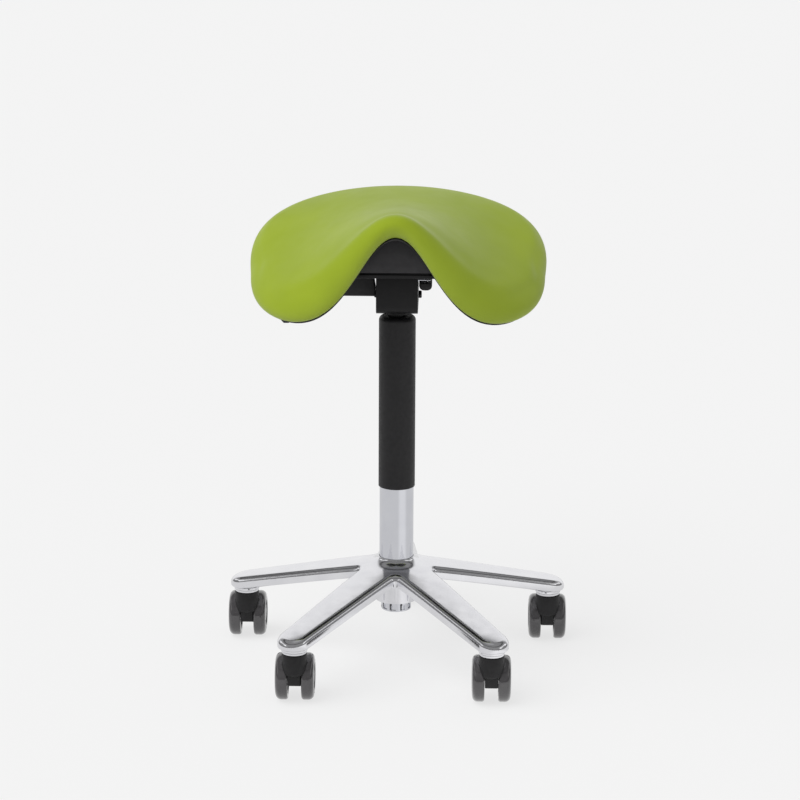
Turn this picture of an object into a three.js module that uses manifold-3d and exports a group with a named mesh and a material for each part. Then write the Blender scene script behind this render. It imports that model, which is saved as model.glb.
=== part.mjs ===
// Saddle stool: an arched, padded seat on a gas column with a five-star castored base.
// Millimetres, +Z up, the front of the stool faces -Y and its right side is +X.
// Heights are measured from the floor and plan places from the column's axis.
import * as THREE from "three";
import { mergeVertices } from "three/addons/utils/BufferGeometryUtils.js";
import Module from "manifold-3d";

const wasm = await Module();
wasm.setup();

const degrees = Math.PI / 180;

// Fits shared by the whole stool
const seatingGap = 0.3;
const cutOverrun = 5;

// Sides of the turned pieces
const columnSides = 28;
const smallSides = 16;
const wheelSides = 16;

// Castors
const armCount = 5;
const casterCircleRadius = 239;
const casterTrail = 20;
const wheelRadius = 34;
const wheelWidth = 18;
const wheelSpacing = 20;
const wheelCornerRadius = 7;
const wheelInnerBevel = 1.5;
const wheelDishRadius = 20;
const wheelDishDepth = 1.5;
const wheelBoreDepth = 14;
const axleRadius = 4;
const axleEndGap = 1;
const wheelClearance = 1.4;
const webSideClearance = 0.8;
const hoodRadius = 18;
const hoodTopHeight = 77;
const hoodSkirtLength = 33;
const webDropBelowAxle = 11;
const webFrontRise = 8;
const webRiseAboveAxle = 28;
const webReach = 13;
const webChamfer = 8;
const stemRadius = 5.5;
const stemInsertion = 30;
const stemTipChamfer = 1;
const stemSocketDepth = 12;
const collarHeight = 8.1;
const collarOverhang = 1;
const collarStep = 0.7;

// Star base
const armTipHalfWidth = 24;
const armTaper = 2.5 * degrees;
const crotchRadius = 6;
const armRise = 47;
const hubSlopeRadius = 36;
const armDepth = 18;
const tipBossStep = 0.7;
const armEdgeRound = 8;
const armLipChamfer = 1.5;
const armWall = 4.5;
const armRoof = 9.5;
const pocketDraft = 0.6;
const hubNeckRise = 9.1;
const hubNeckWall = 1.5;
const hubFlareReach = 12.5;
const hubFlareShares = [
  [0.58, 0.24],
  [0.27, 0.47],
  [0.09, 0.72],
];
const hubBossWall = 6.5;
const hubBossDepth = 58.4;
const hubBossChamfer = 2;

// Column
const tubeRadius = 25;
const tubeWall = 2;
const tubeRiseAboveHub = 224.5;
const tubeTopChamfer = 0.8;
const taperTopInset = 3.5;
const taperLength = 65;
const taperDepth = 3;
const tubeFootLength = 14;
const tubeFootWall = 3;
const tubeFootChamfer = 1;
const tubeFloorRise = 11.5;
const tubeFloorThickness = 3;
const rodRadius = 5;
const rodFloorClearance = 1;
const rodFootInset = 2;
const rodGrooveDepth = 1;
const clipThickness = 2.3;
const clipWidth = 6;
const washerThickness = 2;
const bearingThickness = 4;
const bearingWidth = 8;
const rodShoulderWidth = 3;
const rodShoulderLength = 5;
const pistonTubeDepth = 53;
const pistonLength = 16;
const bushLength = 80;
const bushFlangeThickness = 2;
const bushFlangeInset = 0.4;
const cylinderRadius = 14;
const cylinderWall = 1.8;
const cylinderTubeDepth = 180;
const cylinderLength = 367;
const cylinderEndThickness = 14;
const cylinderHeadLength = 72;
const cylinderTaperLength = 42;
const cylinderTaperDepth = 0.9;
const pinRadius = 4;
const pinLength = 32.3;
const pinStandUp = 5.3;
const pinCrown = 2;
const pinTravel = 4.2;
const sleeveClearance = 0.4;
const sleeveWall = 1.3;
const sleeveLength = 257;
const sleeveTopDrop = 9;
const sleeveShoulderRadius = 7;
const sleeveTopThickness = 3.5;
const sleeveFootChamfer = 0.6;

// Tilt mechanism
const housingHalfWidth = 30;
const housingWall = 3;
const housingFrontDepth = 40;
const housingRearDepth = 60;
const housingHeight = 56;
const housingBendRadius = 12;
const socketWall = 4;
const socketLength = 37;
const socketTopInset = 1;
const pivotInset = 26;
const pivotRise = 14;
const pivotRadius = 4.5;
const pivotHeadRadius = 5.5;
const pivotHeadLength = 4.3;
const earThickness = 3;
const earSideGap = 0.6;
const earPivotRadius = 9.5;
const earRoundStartAngle = 200 * degrees;
const earRoundEndAngle = 350 * degrees;
const earRearInset = 12;
const earRearDrop = 13;
const earChinRise = 18;
const earChinDepth = 12;
const leftEarFront = 14;
const rightEarInset = 12;
const rightEarRise = 26;
const plateGap = 15.2;
const plateThickness = 3.5;
const plateEdgeInset = 2;
const screwEdgeInset = 13;
const screwRadius = 3;
const screwHeadRadius = 6;
const screwHeadHeight = 3.5;
const screwHeadCrown = 1;
const screwDepth = 12;

// Height lever on the left
const leverArmWidth = 10;
const leverArmThickness = 4;
const leverFulcrumRise = 30.5;
const leverTangLength = 33;
const leverRiserClearance = 1;
const leverReachPastPin = 6;
const leverWindowGap = 0.6;
const leverGripWall = 4;
const leverGripGap = 4;
const leverGripRise = 21;
const leverGripDrop = 10.5;
const leverGripBendTop = 62;
const leverGripBendFoot = 54;
const leverTipReach = 138;
const leverTipWidth = 11;
const leverTipDrop = 39.5;
const leverTipHeight = 12;
const leverTipChamfer = 4;

// Tilt lever on the right
const lockInset = 18;
const lockDrop = 8;
const lockRodRadius = 2.5;
const lockRodReach = 17.5;
const lockWasherRadius = 5;
const lockWasherThickness = 2;
const lockWasherInset = 3;
const lockGripGap = 1.5;
const lockGripWidth = 18.5;
const lockGripHeight = 11;
const lockGripFront = 8;
const lockGripRear = 62;
const lockGripCorner = 7;

// Seat
const seatFront = -149;
const seatRear = 175;
const seatHalfWidth = 213;
const seatSquarenessPower = 2.6;
const seatEggShare = 0.15;
const pommelRise = 95;
const crownFall = 19;
const crownDip = 8;
const frontDrop = 158;
const rearDrop = 49;
const dropEasePower = 1.25;
const frontArchWidth = 72;
const rearArchWidth = 244;
const archEasePower = 0.95;
const topExtraWidth = 40;
const topExtraDrop = 25;
const cushionThickness = 36;
const cushionEdge = 20;
const shellThickness = 5;
const shellEdge = 13;
const shellEdgeRound = 2;
const shellRimDrop = 0.6;
const rimPointCount = 48;
const frontCrowdingShare = 0.45;
const topRowShares = [0.2, 0.4, 0.6, 0.76, 0.89];
const underRowShares = [0.82, 0.58, 0.3];
const rollStepCount = 6;
const bridgeHalfWidth = 58;
const bridgeFront = -100;
const bridgeRear = 95;

// Heights and fits that follow from the sizes above, from the floor up
const armPitch = (2 * Math.PI) / armCount;
const webHalfWidth = wheelSpacing / 2 - webSideClearance;
const axleBore = axleRadius + seatingGap;
const stemBore = stemRadius + seatingGap;
const stemFoot = hoodTopHeight - stemInsertion;
const collarFoot = hoodTopHeight + seatingGap;
const collarTop = collarFoot + collarHeight;
const collarRadius = hoodRadius + collarOverhang;
const tipBossFoot = collarTop + seatingGap;
const armTopAtTip = tipBossFoot + armDepth + tipBossStep;
const armSlope = armRise / (casterCircleRadius - hubSlopeRadius);
const hubTop = armTopAtTip + armRise + hubNeckRise;
const hubBossFoot = armTopAtTip + armRise - hubBossDepth;
const hubBossRadius = tubeRadius + hubBossWall;
const hubFlareRadius = hubBossRadius + hubFlareReach;
const taperTop = hubTop - taperTopInset;
const taperFoot = taperTop - taperLength;
const taperFootRadius = tubeRadius - taperDepth;
const tubeFoot = taperFoot - tubeFootLength;
const tubeTop = hubTop + tubeRiseAboveHub;
const tubeBore = tubeRadius - tubeWall;
const tubeFloorTop = tubeFoot + tubeFloorRise;
const rodBore = rodRadius + seatingGap;
const clipTop = tubeFloorTop - tubeFloorThickness - seatingGap;
const lowerWasherFoot = tubeFloorTop + seatingGap;
const bearingFoot = lowerWasherFoot + washerThickness + seatingGap;
const upperWasherFoot = bearingFoot + bearingThickness + seatingGap;
const rodShoulderFoot = upperWasherFoot + washerThickness + seatingGap;
const pistonFoot = tubeTop - pistonTubeDepth;
const cylinderFoot = tubeTop - cylinderTubeDepth;
const cylinderTop = cylinderFoot + cylinderLength;
const cylinderBore = cylinderRadius - cylinderWall;
const cylinderSlideBore = cylinderRadius + seatingGap;
const pinTop = cylinderTop + pinStandUp;
const pinFoot = pinTop - pinLength;
const socketTop = cylinderTop - socketTopInset;
const socketFoot = socketTop - socketLength;
const socketRadius = cylinderRadius + socketWall;
const sleeveTop = socketFoot - sleeveTopDrop;
const sleeveBore = tubeRadius + sleeveClearance;
const housingFoot = socketFoot;
const housingTop = housingFoot + housingHeight;
const housingBore = housingHalfWidth - housingWall;
const pivotDepth = housingRearDepth - pivotInset;
const pivotHeight = housingFoot + pivotRise;
const earOuter = housingBore - earSideGap;
const plateFoot = housingTop + plateGap;
const plateTop = plateFoot + plateThickness;
const bridgeFoot = plateTop + seatingGap;
const leverFulcrum = housingFoot + leverFulcrumRise;
const leverPressFoot = pinTop + seatingGap;
const lockDepth = lockInset - housingFrontDepth;
const lockHeight = housingTop - lockDrop;
const pommelHeight = bridgeFoot + pommelRise;
const seatLength = seatRear - seatFront;
const seatMiddle = (seatRear + seatFront) / 2;

// Helpers for shapes

// A profile of [radius, height] points, anticlockwise, turned round the Z axis.
function turned(profile, sides) {
  const points = profile.map(([radius, height]) => new THREE.Vector2(radius, height));
  return new THREE.LatheGeometry(points, sides).rotateX(Math.PI / 2);
}

function rod(radius, foot, top, sides = smallSides) {
  return turned(
    [
      [0, foot],
      [radius, foot],
      [radius, top],
      [0, top],
    ],
    sides,
  );
}

function ring(innerRadius, outerRadius, foot, top) {
  return turned(
    [
      [innerRadius, foot],
      [outerRadius, foot],
      [outerRadius, top],
      [innerRadius, top],
      [innerRadius, foot],
    ],
    smallSides,
  );
}

// A turned piece laid over so that its height runs along +X or, flipped, along -X.
function alongX(geometry, flipped = false) {
  return geometry.rotateY(flipped ? -Math.PI / 2 : Math.PI / 2);
}

// A [y, z] outline made a plate from one x to another.
function plateAcrossX(outline, fromX, toX) {
  const shape = new THREE.Shape(outline.map(([y, z]) => new THREE.Vector2(y, z)));
  const geometry = new THREE.ExtrudeGeometry(shape, { depth: toX - fromX, bevelEnabled: false });
  const alongY = new THREE.Vector3(0, 1, 0);
  const alongZ = new THREE.Vector3(0, 0, 1);
  const across = new THREE.Vector3(1, 0, 0);
  geometry.applyMatrix4(new THREE.Matrix4().makeBasis(alongY, alongZ, across));
  return geometry.translate(fromX, 0, 0);
}

// An [x, z] outline made a plate from one y to another.
function plateAcrossY(outline, fromY, toY) {
  const shape = new THREE.Shape(outline.map(([x, z]) => new THREE.Vector2(x, z)));
  const geometry = new THREE.ExtrudeGeometry(shape, { depth: toY - fromY, bevelEnabled: false });
  return geometry.rotateX(Math.PI / 2).translate(0, toY, 0);
}

function boxBetween(low, high) {
  const size = high.map((value, axis) => value - low[axis]);
  const middle = low.map((value, axis) => value + size[axis] / 2);
  return new THREE.BoxGeometry(...size).translate(...middle);
}

// Points on an arc round a centre, both ends included.
function arc(centre, radius, fromAngle, toAngle, steps) {
  return Array.from({ length: steps + 1 }, (_, step) => {
    const angle = fromAngle + ((toAngle - fromAngle) * step) / steps;
    return [centre[0] + radius * Math.cos(angle), centre[1] + radius * Math.sin(angle)];
  });
}

// A closed skin over rows of equal count, from a first pole to a last pole.
// Each four-sided patch is split along its shorter diagonal.
function skin(firstPole, rows, lastPole) {
  const count = rows[0].length;
  const points = [firstPole, ...rows.flat(), lastPole];
  const last = points.length - 1;
  const apart = (a, b) => Math.hypot(...points[a].map((value, axis) => value - points[b][axis]));
  const faces = [];
  for (let i = 0; i < count; i++) {
    const next = (i + 1) % count;
    faces.push(0, 1 + i, 1 + next);
    for (let row = 0; row < rows.length - 1; row++) {
      const here = 1 + row * count;
      const below = here + count;
      if (apart(here + i, below + next) < apart(here + next, below + i)) {
        faces.push(here + i, below + i, below + next, here + i, below + next, here + next);
      } else {
        faces.push(here + i, below + i, here + next, here + next, below + i, below + next);
      }
    }
    const rim = 1 + (rows.length - 1) * count;
    faces.push(last, rim + next, rim + i);
  }
  const geometry = new THREE.BufferGeometry();
  geometry.setAttribute("position", new THREE.Float32BufferAttribute(points.flat(), 3));
  geometry.setIndex(faces);
  return geometry;
}

function solid(geometry) {
  const bare = geometry.clone();
  bare.deleteAttribute("normal");
  bare.deleteAttribute("uv");
  const merged = mergeVertices(bare);
  return new wasm.Manifold(
    new wasm.Mesh({
      numProp: 3,
      vertProperties: new Float32Array(merged.attributes.position.array),
      triVerts: new Uint32Array(merged.index.array),
    }),
  );
}

function joined(...geometries) {
  return geometries.map(solid).reduce((whole, body) => whole.add(body));
}

// A solid less its cuts, as a geometry.
function cutFrom(body, ...cuts) {
  const mesh = cuts.reduce((rest, cut) => rest.subtract(solid(cut)), body).getMesh();
  const geometry = new THREE.BufferGeometry();
  geometry.setAttribute("position", new THREE.BufferAttribute(mesh.vertProperties, 3));
  geometry.setIndex(new THREE.BufferAttribute(mesh.triVerts, 1));
  geometry.computeVertexNormals();
  return geometry;
}

// Helpers for finishes
function finish(color, roughness, metalness) {
  return () => new THREE.MeshStandardMaterial({ color, roughness, metalness });
}

const polishedAluminium = finish(0xd9dade, 0.18, 1);
const chromedSteel = finish(0xe2e3e6, 0.08, 1);
const zincSteel = finish(0xb9b9b4, 0.35, 1);
const blackPaint = finish(0x1c1b1e, 0.45, 0);
const blackPlastic = finish(0x2a262c, 0.55, 0);
const greyPlastic = finish(0x504e50, 0.25, 0);
const bearingPlastic = finish(0xd8d4c8, 0.5, 0);
const shellPlastic = finish(0x302e32, 0.5, 0);
const greenVinyl = finish(0x9cae34, 0.4, 0);

const stool = new THREE.Group();

function place(name, geometry, material, parent = stool) {
  const mesh = new THREE.Mesh(geometry, material());
  mesh.name = name;
  parent.add(mesh);
  return mesh;
}

// Star base

function armTopAt(radius) {
  return armTopAtTip + armSlope * (casterCircleRadius - radius);
}

function armAngle(arm) {
  return Math.PI / 2 + arm * armPitch;
}

function armTipPlace(arm) {
  return [casterCircleRadius * Math.cos(armAngle(arm)), casterCircleRadius * Math.sin(armAngle(arm))];
}

// The star's plan outline with its outward normals: a round tip and a filleted crotch per arm.
function starOutline() {
  const tipSteps = 6;
  const crotchSteps = 4;
  const half = armPitch / 2;
  const flankAngle = Math.PI / 2 - armTaper;
  const tangentAlong = casterCircleRadius + armTipHalfWidth * Math.sin(armTaper);
  const tangentAcross = armTipHalfWidth * Math.cos(armTaper);
  const flankLength =
    (tangentAlong * Math.tan(half) - tangentAcross) /
    (Math.sin(armTaper) + Math.cos(armTaper) * Math.tan(half));
  const cornerRadius = (tangentAlong - flankLength * Math.cos(armTaper)) / Math.cos(half);
  const filletReach = cornerRadius + crotchRadius / Math.sin(half + armTaper);
  const outline = [];
  const addArc = (centre, radius, from, to, steps) => {
    for (let step = 0; step <= steps; step++) {
      const angle = from + ((to - from) * step) / steps;
      const normal = [Math.cos(angle), Math.sin(angle)];
      outline.push({ at: centre.map((value, axis) => value + radius * normal[axis]), normal });
    }
  };
  for (let arm = 0; arm < armCount; arm++) {
    const turn = armAngle(arm);
    const gap = turn + half;
    addArc(armTipPlace(arm), armTipHalfWidth, turn - flankAngle, turn + flankAngle, tipSteps);
    const fillet = [filletReach * Math.cos(gap), filletReach * Math.sin(gap)];
    addArc(fillet, -crotchRadius, turn + flankAngle, turn + armPitch - flankAngle, crotchSteps);
  }
  return outline;
}

// The arms as one cast tray, rounded on top and hollow underneath, with a flat foot at each tip.
function armTray() {
  const outline = starOutline();
  const row = (inset, heightAt) =>
    outline.map(({ at, normal }) => {
      const x = at[0] - normal[0] * inset;
      const y = at[1] - normal[1] * inset;
      return [x, y, heightAt(Math.hypot(x, y))];
    });
  const below = (drop) => (radius) => armTopAt(radius) - drop;
  const foot = (rise) => (radius) => Math.max(armTopAt(radius) - armDepth, tipBossFoot) + rise;
  const cornerInset = armEdgeRound * (1 - Math.SQRT1_2);
  const pocketInset = armLipChamfer + armWall;
  const rows = [
    row(armEdgeRound, below(0)),
    row(cornerInset, below(cornerInset)),
    row(0, below(armEdgeRound)),
    row(0, foot(armLipChamfer)),
    row(armLipChamfer, foot(0)),
    row(pocketInset, foot(0)),
    row(pocketInset + pocketDraft, below(armRoof)),
  ];
  return skin([0, 0, armTopAt(0)], rows, [0, 0, armTopAt(0) - armRoof]);
}

function hubBody() {
  const neckRadius = tubeRadius + seatingGap + hubNeckWall;
  const flareFoot = armTopAt(hubFlareRadius);
  const flare = hubFlareShares.map(([out, up]) => [
    neckRadius + (hubFlareRadius - neckRadius) * out,
    flareFoot + (hubTop - flareFoot) * up,
  ]);
  return turned(
    [
      [0, hubBossFoot],
      [hubBossRadius - hubBossChamfer, hubBossFoot],
      [hubBossRadius, hubBossFoot + hubBossChamfer],
      [hubBossRadius, flareFoot - armDepth],
      [hubFlareRadius, flareFoot - armRoof],
      [hubFlareRadius, flareFoot],
      ...flare,
      [neckRadius, hubTop],
      [0, hubTop],
    ],
    columnSides,
  );
}

function hubBore() {
  const footRadius = taperFootRadius + seatingGap;
  const topRadius = tubeRadius + seatingGap;
  return turned(
    [
      [0, hubBossFoot - cutOverrun],
      [footRadius, hubBossFoot - cutOverrun],
      [footRadius, taperFoot],
      [topRadius, taperTop],
      [topRadius, hubTop + cutOverrun],
      [0, hubTop + cutOverrun],
    ],
    columnSides,
  );
}

// The solid boss for the castor's stem, from the arm's flat foot up into its roof.
function tipBoss(arm) {
  const [centreX, centreY] = armTipPlace(arm);
  const circle = (radius, heightAt) =>
    Array.from({ length: smallSides }, (_, index) => {
      const angle = (2 * Math.PI * index) / smallSides;
      const x = centreX + radius * Math.cos(angle);
      const y = centreY + radius * Math.sin(angle);
      return [x, y, heightAt(Math.hypot(x, y))];
    });
  const inRoof = (radius) => armTopAt(radius) - armRoof / 2;
  const rows = [circle(armTipHalfWidth - armWall, inRoof), circle(collarRadius, () => tipBossFoot)];
  return skin([centreX, centreY, inRoof(casterCircleRadius)], rows, [centreX, centreY, tipBossFoot]);
}

function stemSocket(arm) {
  const socket = rod(stemBore, tipBossFoot - cutOverrun, tipBossFoot + stemSocketDepth);
  return socket.translate(...armTipPlace(arm), 0);
}

function starBase() {
  const arms = Array.from({ length: armCount }, (_, arm) => arm);
  const whole = joined(armTray(), hubBody(), ...arms.map(tipBoss));
  return cutFrom(whole, hubBore(), ...arms.map(stemSocket));
}

place("star_base", starBase(), polishedAluminium);

// Castors

function casterCollar() {
  const step = (collarFoot + collarTop) / 2;
  return turned(
    [
      [stemBore, collarFoot],
      [collarRadius - collarStep, collarFoot],
      [collarRadius - collarStep, step],
      [collarRadius, step + collarStep],
      [collarRadius, collarTop],
      [stemBore, collarTop],
      [stemBore, collarFoot],
    ],
    smallSides,
  );
}

function casterStem() {
  const top = tipBossFoot + stemSocketDepth - seatingGap;
  return turned(
    [
      [0, stemFoot + seatingGap],
      [stemRadius, stemFoot + seatingGap],
      [stemRadius, top - stemTipChamfer],
      [stemRadius - stemTipChamfer, top],
      [0, top],
    ],
    smallSides,
  );
}

// The hood: a round head over the stem with a web between the wheels, cut back round both wheels.
function casterHood() {
  const skirt = hoodTopHeight - hoodSkirtLength;
  const head = turned(
    [
      [0, skirt],
      [webHalfWidth, skirt],
      [hoodRadius, skirt + (hoodRadius - webHalfWidth)],
      [hoodRadius, hoodTopHeight],
      [0, hoodTopHeight],
    ],
    2 * smallSides,
  );
  const rear = casterTrail + webReach;
  const foot = wheelRadius - webDropBelowAxle;
  const shoulder = wheelRadius + webRiseAboveAxle;
  const web = plateAcrossX(
    [
      [-webReach, foot + webFrontRise],
      [casterTrail - webReach, foot],
      [rear - webChamfer, foot],
      [rear, foot + webChamfer],
      [rear, shoulder - 2 * webChamfer],
      [rear - 2 * webChamfer, shoulder],
      [-webReach, shoulder],
    ],
    -webHalfWidth,
    webHalfWidth,
  );
  const bore = rod(stemBore, stemFoot, hoodTopHeight + cutOverrun);
  return cutFrom(
    joined(head, web),
    wheelSpace(false),
    wheelSpace(true),
    bore,
    axleRod(axleBore, wheelSpacing),
  );
}

function wheelSpace(flipped) {
  const space = rod(wheelRadius + wheelClearance, webHalfWidth, webHalfWidth + wheelWidth, 2 * smallSides);
  return atAxle(alongX(space, flipped));
}

function atAxle(geometry) {
  return geometry.translate(0, casterTrail, wheelRadius);
}

function axleRod(radius, reach) {
  return atAxle(alongX(rod(radius, -reach, reach)));
}

function casterWheel(flipped) {
  const inner = wheelSpacing / 2;
  const outer = inner + wheelWidth;
  const boreEnd = inner + wheelBoreDepth;
  const cornerCentre = [wheelRadius - wheelCornerRadius, outer - wheelCornerRadius];
  const wheel = turned(
    [
      [0, boreEnd],
      [axleBore, boreEnd],
      [axleBore, inner],
      [wheelRadius - wheelInnerBevel, inner],
      [wheelRadius, inner + wheelInnerBevel],
      ...arc(cornerCentre, wheelCornerRadius, 0, Math.PI / 2, 2),
      [wheelDishRadius, outer - wheelDishDepth],
      [0, outer - wheelDishDepth],
    ],
    wheelSides,
  );
  return atAxle(alongX(wheel, flipped));
}

const collarGeometry = casterCollar();
const stemGeometry = casterStem();
const hoodGeometry = casterHood();
const axleGeometry = axleRod(axleRadius, wheelSpacing / 2 + wheelBoreDepth - axleEndGap);
const rightWheelGeometry = casterWheel(false);
const leftWheelGeometry = casterWheel(true);

for (let arm = 0; arm < armCount; arm++) {
  const caster = new THREE.Group();
  caster.position.set(...armTipPlace(arm), 0);
  const number = arm + 1;
  place(`caster_collar_${number}`, collarGeometry, polishedAluminium, caster);
  place(`caster_stem_${number}`, stemGeometry, zincSteel, caster);
  place(`caster_hood_${number}`, hoodGeometry, blackPlastic, caster);
  place(`caster_axle_${number}`, axleGeometry, zincSteel, caster);
  place(`caster_wheel_right_${number}`, rightWheelGeometry, greyPlastic, caster);
  place(`caster_wheel_left_${number}`, leftWheelGeometry, greyPlastic, caster);
  stool.add(caster);
}

// Column

function columnTube() {
  const footBore = taperFootRadius - tubeWall;
  const recess = taperFootRadius - tubeFootWall;
  const floorHole = rodRadius + rodFloorClearance;
  const floorFoot = tubeFloorTop - tubeFloorThickness;
  return turned(
    [
      [recess, tubeFoot],
      [taperFootRadius - tubeFootChamfer, tubeFoot],
      [taperFootRadius, tubeFoot + tubeFootChamfer],
      [taperFootRadius, taperFoot],
      [tubeRadius, taperTop],
      [tubeRadius, tubeTop - tubeTopChamfer],
      [tubeRadius - tubeTopChamfer, tubeTop],
      [tubeBore, tubeTop],
      [tubeBore, taperTop],
      [footBore, taperFoot],
      [footBore, tubeFloorTop],
      [floorHole, tubeFloorTop],
      [floorHole, floorFoot],
      [recess, floorFoot],
      [recess, tubeFoot],
    ],
    columnSides,
  );
}

place("column_tube", columnTube(), chromedSteel);

function bearingRing(foot, thickness) {
  return ring(rodBore, rodRadius + bearingWidth, foot, foot + thickness);
}

place("bearing_washer_lower", bearingRing(lowerWasherFoot, washerThickness), zincSteel);
place("thrust_bearing", bearingRing(bearingFoot, bearingThickness), bearingPlastic);
place("bearing_washer_upper", bearingRing(upperWasherFoot, washerThickness), zincSteel);

function retainingClip() {
  const inner = rodRadius - rodGrooveDepth + seatingGap;
  return ring(inner, inner + clipWidth, clipTop - clipThickness, clipTop);
}

place("retaining_clip", retainingClip(), zincSteel);

function pistonRod() {
  const grooveRadius = rodRadius - rodGrooveDepth;
  const grooveFoot = clipTop - clipThickness - seatingGap;
  const grooveTop = clipTop + seatingGap;
  const shoulderRadius = rodRadius + rodShoulderWidth;
  const pistonRadius = cylinderBore - seatingGap;
  return turned(
    [
      [0, tubeFoot + rodFootInset],
      [rodRadius, tubeFoot + rodFootInset],
      [rodRadius, grooveFoot],
      [grooveRadius, grooveFoot],
      [grooveRadius, grooveTop],
      [rodRadius, grooveTop],
      [rodRadius, rodShoulderFoot],
      [shoulderRadius, rodShoulderFoot],
      [shoulderRadius, rodShoulderFoot + rodShoulderLength],
      [rodRadius, rodShoulderFoot + rodShoulderLength],
      [rodRadius, pistonFoot],
      [pistonRadius, pistonFoot],
      [pistonRadius, pistonFoot + pistonLength],
      [0, pistonFoot + pistonLength],
    ],
    smallSides,
  );
}

place("piston_rod", pistonRod(), chromedSteel);

function guideBush() {
  const outer = tubeBore - seatingGap;
  const flangeRadius = tubeRadius - bushFlangeInset;
  const flangeFoot = tubeTop + seatingGap;
  const flangeTop = flangeFoot + bushFlangeThickness;
  return turned(
    [
      [cylinderSlideBore, tubeTop - bushLength],
      [outer, tubeTop - bushLength],
      [outer, flangeFoot],
      [flangeRadius, flangeFoot],
      [flangeRadius, flangeTop],
      [cylinderSlideBore, flangeTop],
      [cylinderSlideBore, tubeTop - bushLength],
    ],
    columnSides,
  );
}

place("guide_bush", guideBush(), bearingPlastic);

// The cylinder's radius at a height on its tapered top.
function taperRadiusAt(height) {
  const share = (cylinderTop - height) / cylinderTaperLength;
  return cylinderRadius - cylinderTaperDepth * (1 - Math.min(share, 1));
}

function gasCylinder() {
  const chamberTop = cylinderTop - cylinderHeadLength;
  const chamberFoot = cylinderFoot + cylinderEndThickness;
  const pinBore = pinRadius + seatingGap;
  const pinSeat = pinFoot - pinTravel - seatingGap;
  return turned(
    [
      [0, chamberTop],
      [cylinderBore, chamberTop],
      [cylinderBore, chamberFoot],
      [rodBore, chamberFoot],
      [rodBore, cylinderFoot],
      [cylinderRadius, cylinderFoot],
      [cylinderRadius, cylinderTop - cylinderTaperLength],
      [taperRadiusAt(cylinderTop), cylinderTop],
      [pinBore, cylinderTop],
      [pinBore, pinSeat],
      [0, pinSeat],
    ],
    columnSides,
  );
}

place("gas_cylinder", gasCylinder(), blackPaint);

function releasePin() {
  return turned(
    [
      [0, pinFoot],
      [pinRadius, pinFoot],
      [pinRadius, pinTop - pinCrown],
      [pinRadius - pinCrown, pinTop],
      [0, pinTop],
    ],
    smallSides,
  );
}

place("release_pin", releasePin(), zincSteel);

function columnSleeve() {
  const outer = sleeveBore + sleeveWall;
  const shoulder = [outer - sleeveShoulderRadius, sleeveTop - sleeveShoulderRadius];
  const ceiling = sleeveTop - sleeveTopThickness;
  const foot = sleeveTop - sleeveLength;
  return turned(
    [
      [sleeveBore, foot],
      [outer - sleeveFootChamfer, foot],
      [outer, foot + sleeveFootChamfer],
      ...arc(shoulder, sleeveShoulderRadius, 0, Math.PI / 2, 3),
      [cylinderSlideBore, sleeveTop],
      [cylinderSlideBore, ceiling],
      [sleeveBore - sleeveShoulderRadius / 2, ceiling],
      [sleeveBore, ceiling - sleeveShoulderRadius],
      [sleeveBore, foot],
    ],
    columnSides,
  );
}

place("column_sleeve", columnSleeve(), blackPlastic);

// Tilt mechanism

function taperSocket() {
  const footBore = taperRadiusAt(socketFoot) + seatingGap;
  const topBore = taperRadiusAt(socketTop) + seatingGap;
  return turned(
    [
      [footBore, socketFoot],
      [socketRadius, socketFoot],
      [socketRadius, socketTop],
      [topBore, socketTop],
      [footBore, socketFoot],
    ],
    columnSides,
  );
}

place("taper_socket", taperSocket(), zincSteel);

// The side view of the folded box, with its two bends, drawn in by an inset.
function housingOutline(inset, top) {
  const bend = housingBendRadius - inset;
  const bendHeight = housingFoot + housingBendRadius;
  const frontBend = [housingBendRadius - housingFrontDepth, bendHeight];
  const rearBend = [housingRearDepth - housingBendRadius, bendHeight];
  return [
    ...arc(frontBend, bend, Math.PI, 1.5 * Math.PI, 3),
    ...arc(rearBend, bend, 1.5 * Math.PI, 2 * Math.PI, 3),
    [housingRearDepth - inset, top],
    [inset - housingFrontDepth, top],
  ];
}

function crossHole(radius, y, z, fromX, toX) {
  return alongX(rod(radius, fromX, toX)).translate(0, y, z);
}

function tiltHousing() {
  const outside = housingHalfWidth + cutOverrun;
  const windowAcross = leverArmWidth / 2 + leverWindowGap;
  const windowUp = leverArmThickness / 2 + leverWindowGap;
  const hollow = housingOutline(housingWall, housingTop + cutOverrun);
  const floorTop = housingFoot + housingWall;
  return cutFrom(
    solid(plateAcrossX(housingOutline(0, housingTop), -housingHalfWidth, housingHalfWidth)),
    plateAcrossX(hollow, -housingBore, housingBore),
    rod(socketRadius + seatingGap, housingFoot - cutOverrun, floorTop + cutOverrun, columnSides),
    crossHole(pivotRadius + seatingGap, pivotDepth, pivotHeight, -outside, outside),
    crossHole(lockRodRadius + seatingGap, lockDepth, lockHeight, 0, outside),
    boxBetween(
      [-outside, -windowAcross, leverFulcrum - windowUp],
      [0, windowAcross, leverFulcrum + windowUp],
    ),
  );
}

place("tilt_housing", tiltHousing(), blackPaint);

function tiltPivotPin() {
  const shoulder = housingHalfWidth + seatingGap;
  const end = shoulder + pivotHeadLength;
  const pin = turned(
    [
      [0, -end],
      [pivotHeadRadius, -end],
      [pivotHeadRadius, -shoulder],
      [pivotRadius, -shoulder],
      [pivotRadius, shoulder],
      [pivotHeadRadius, shoulder],
      [pivotHeadRadius, end],
      [0, end],
    ],
    smallSides,
  );
  return alongX(pin).translate(0, pivotDepth, pivotHeight);
}

place("tilt_pivot_pin", tiltPivotPin(), blackPaint);

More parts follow.
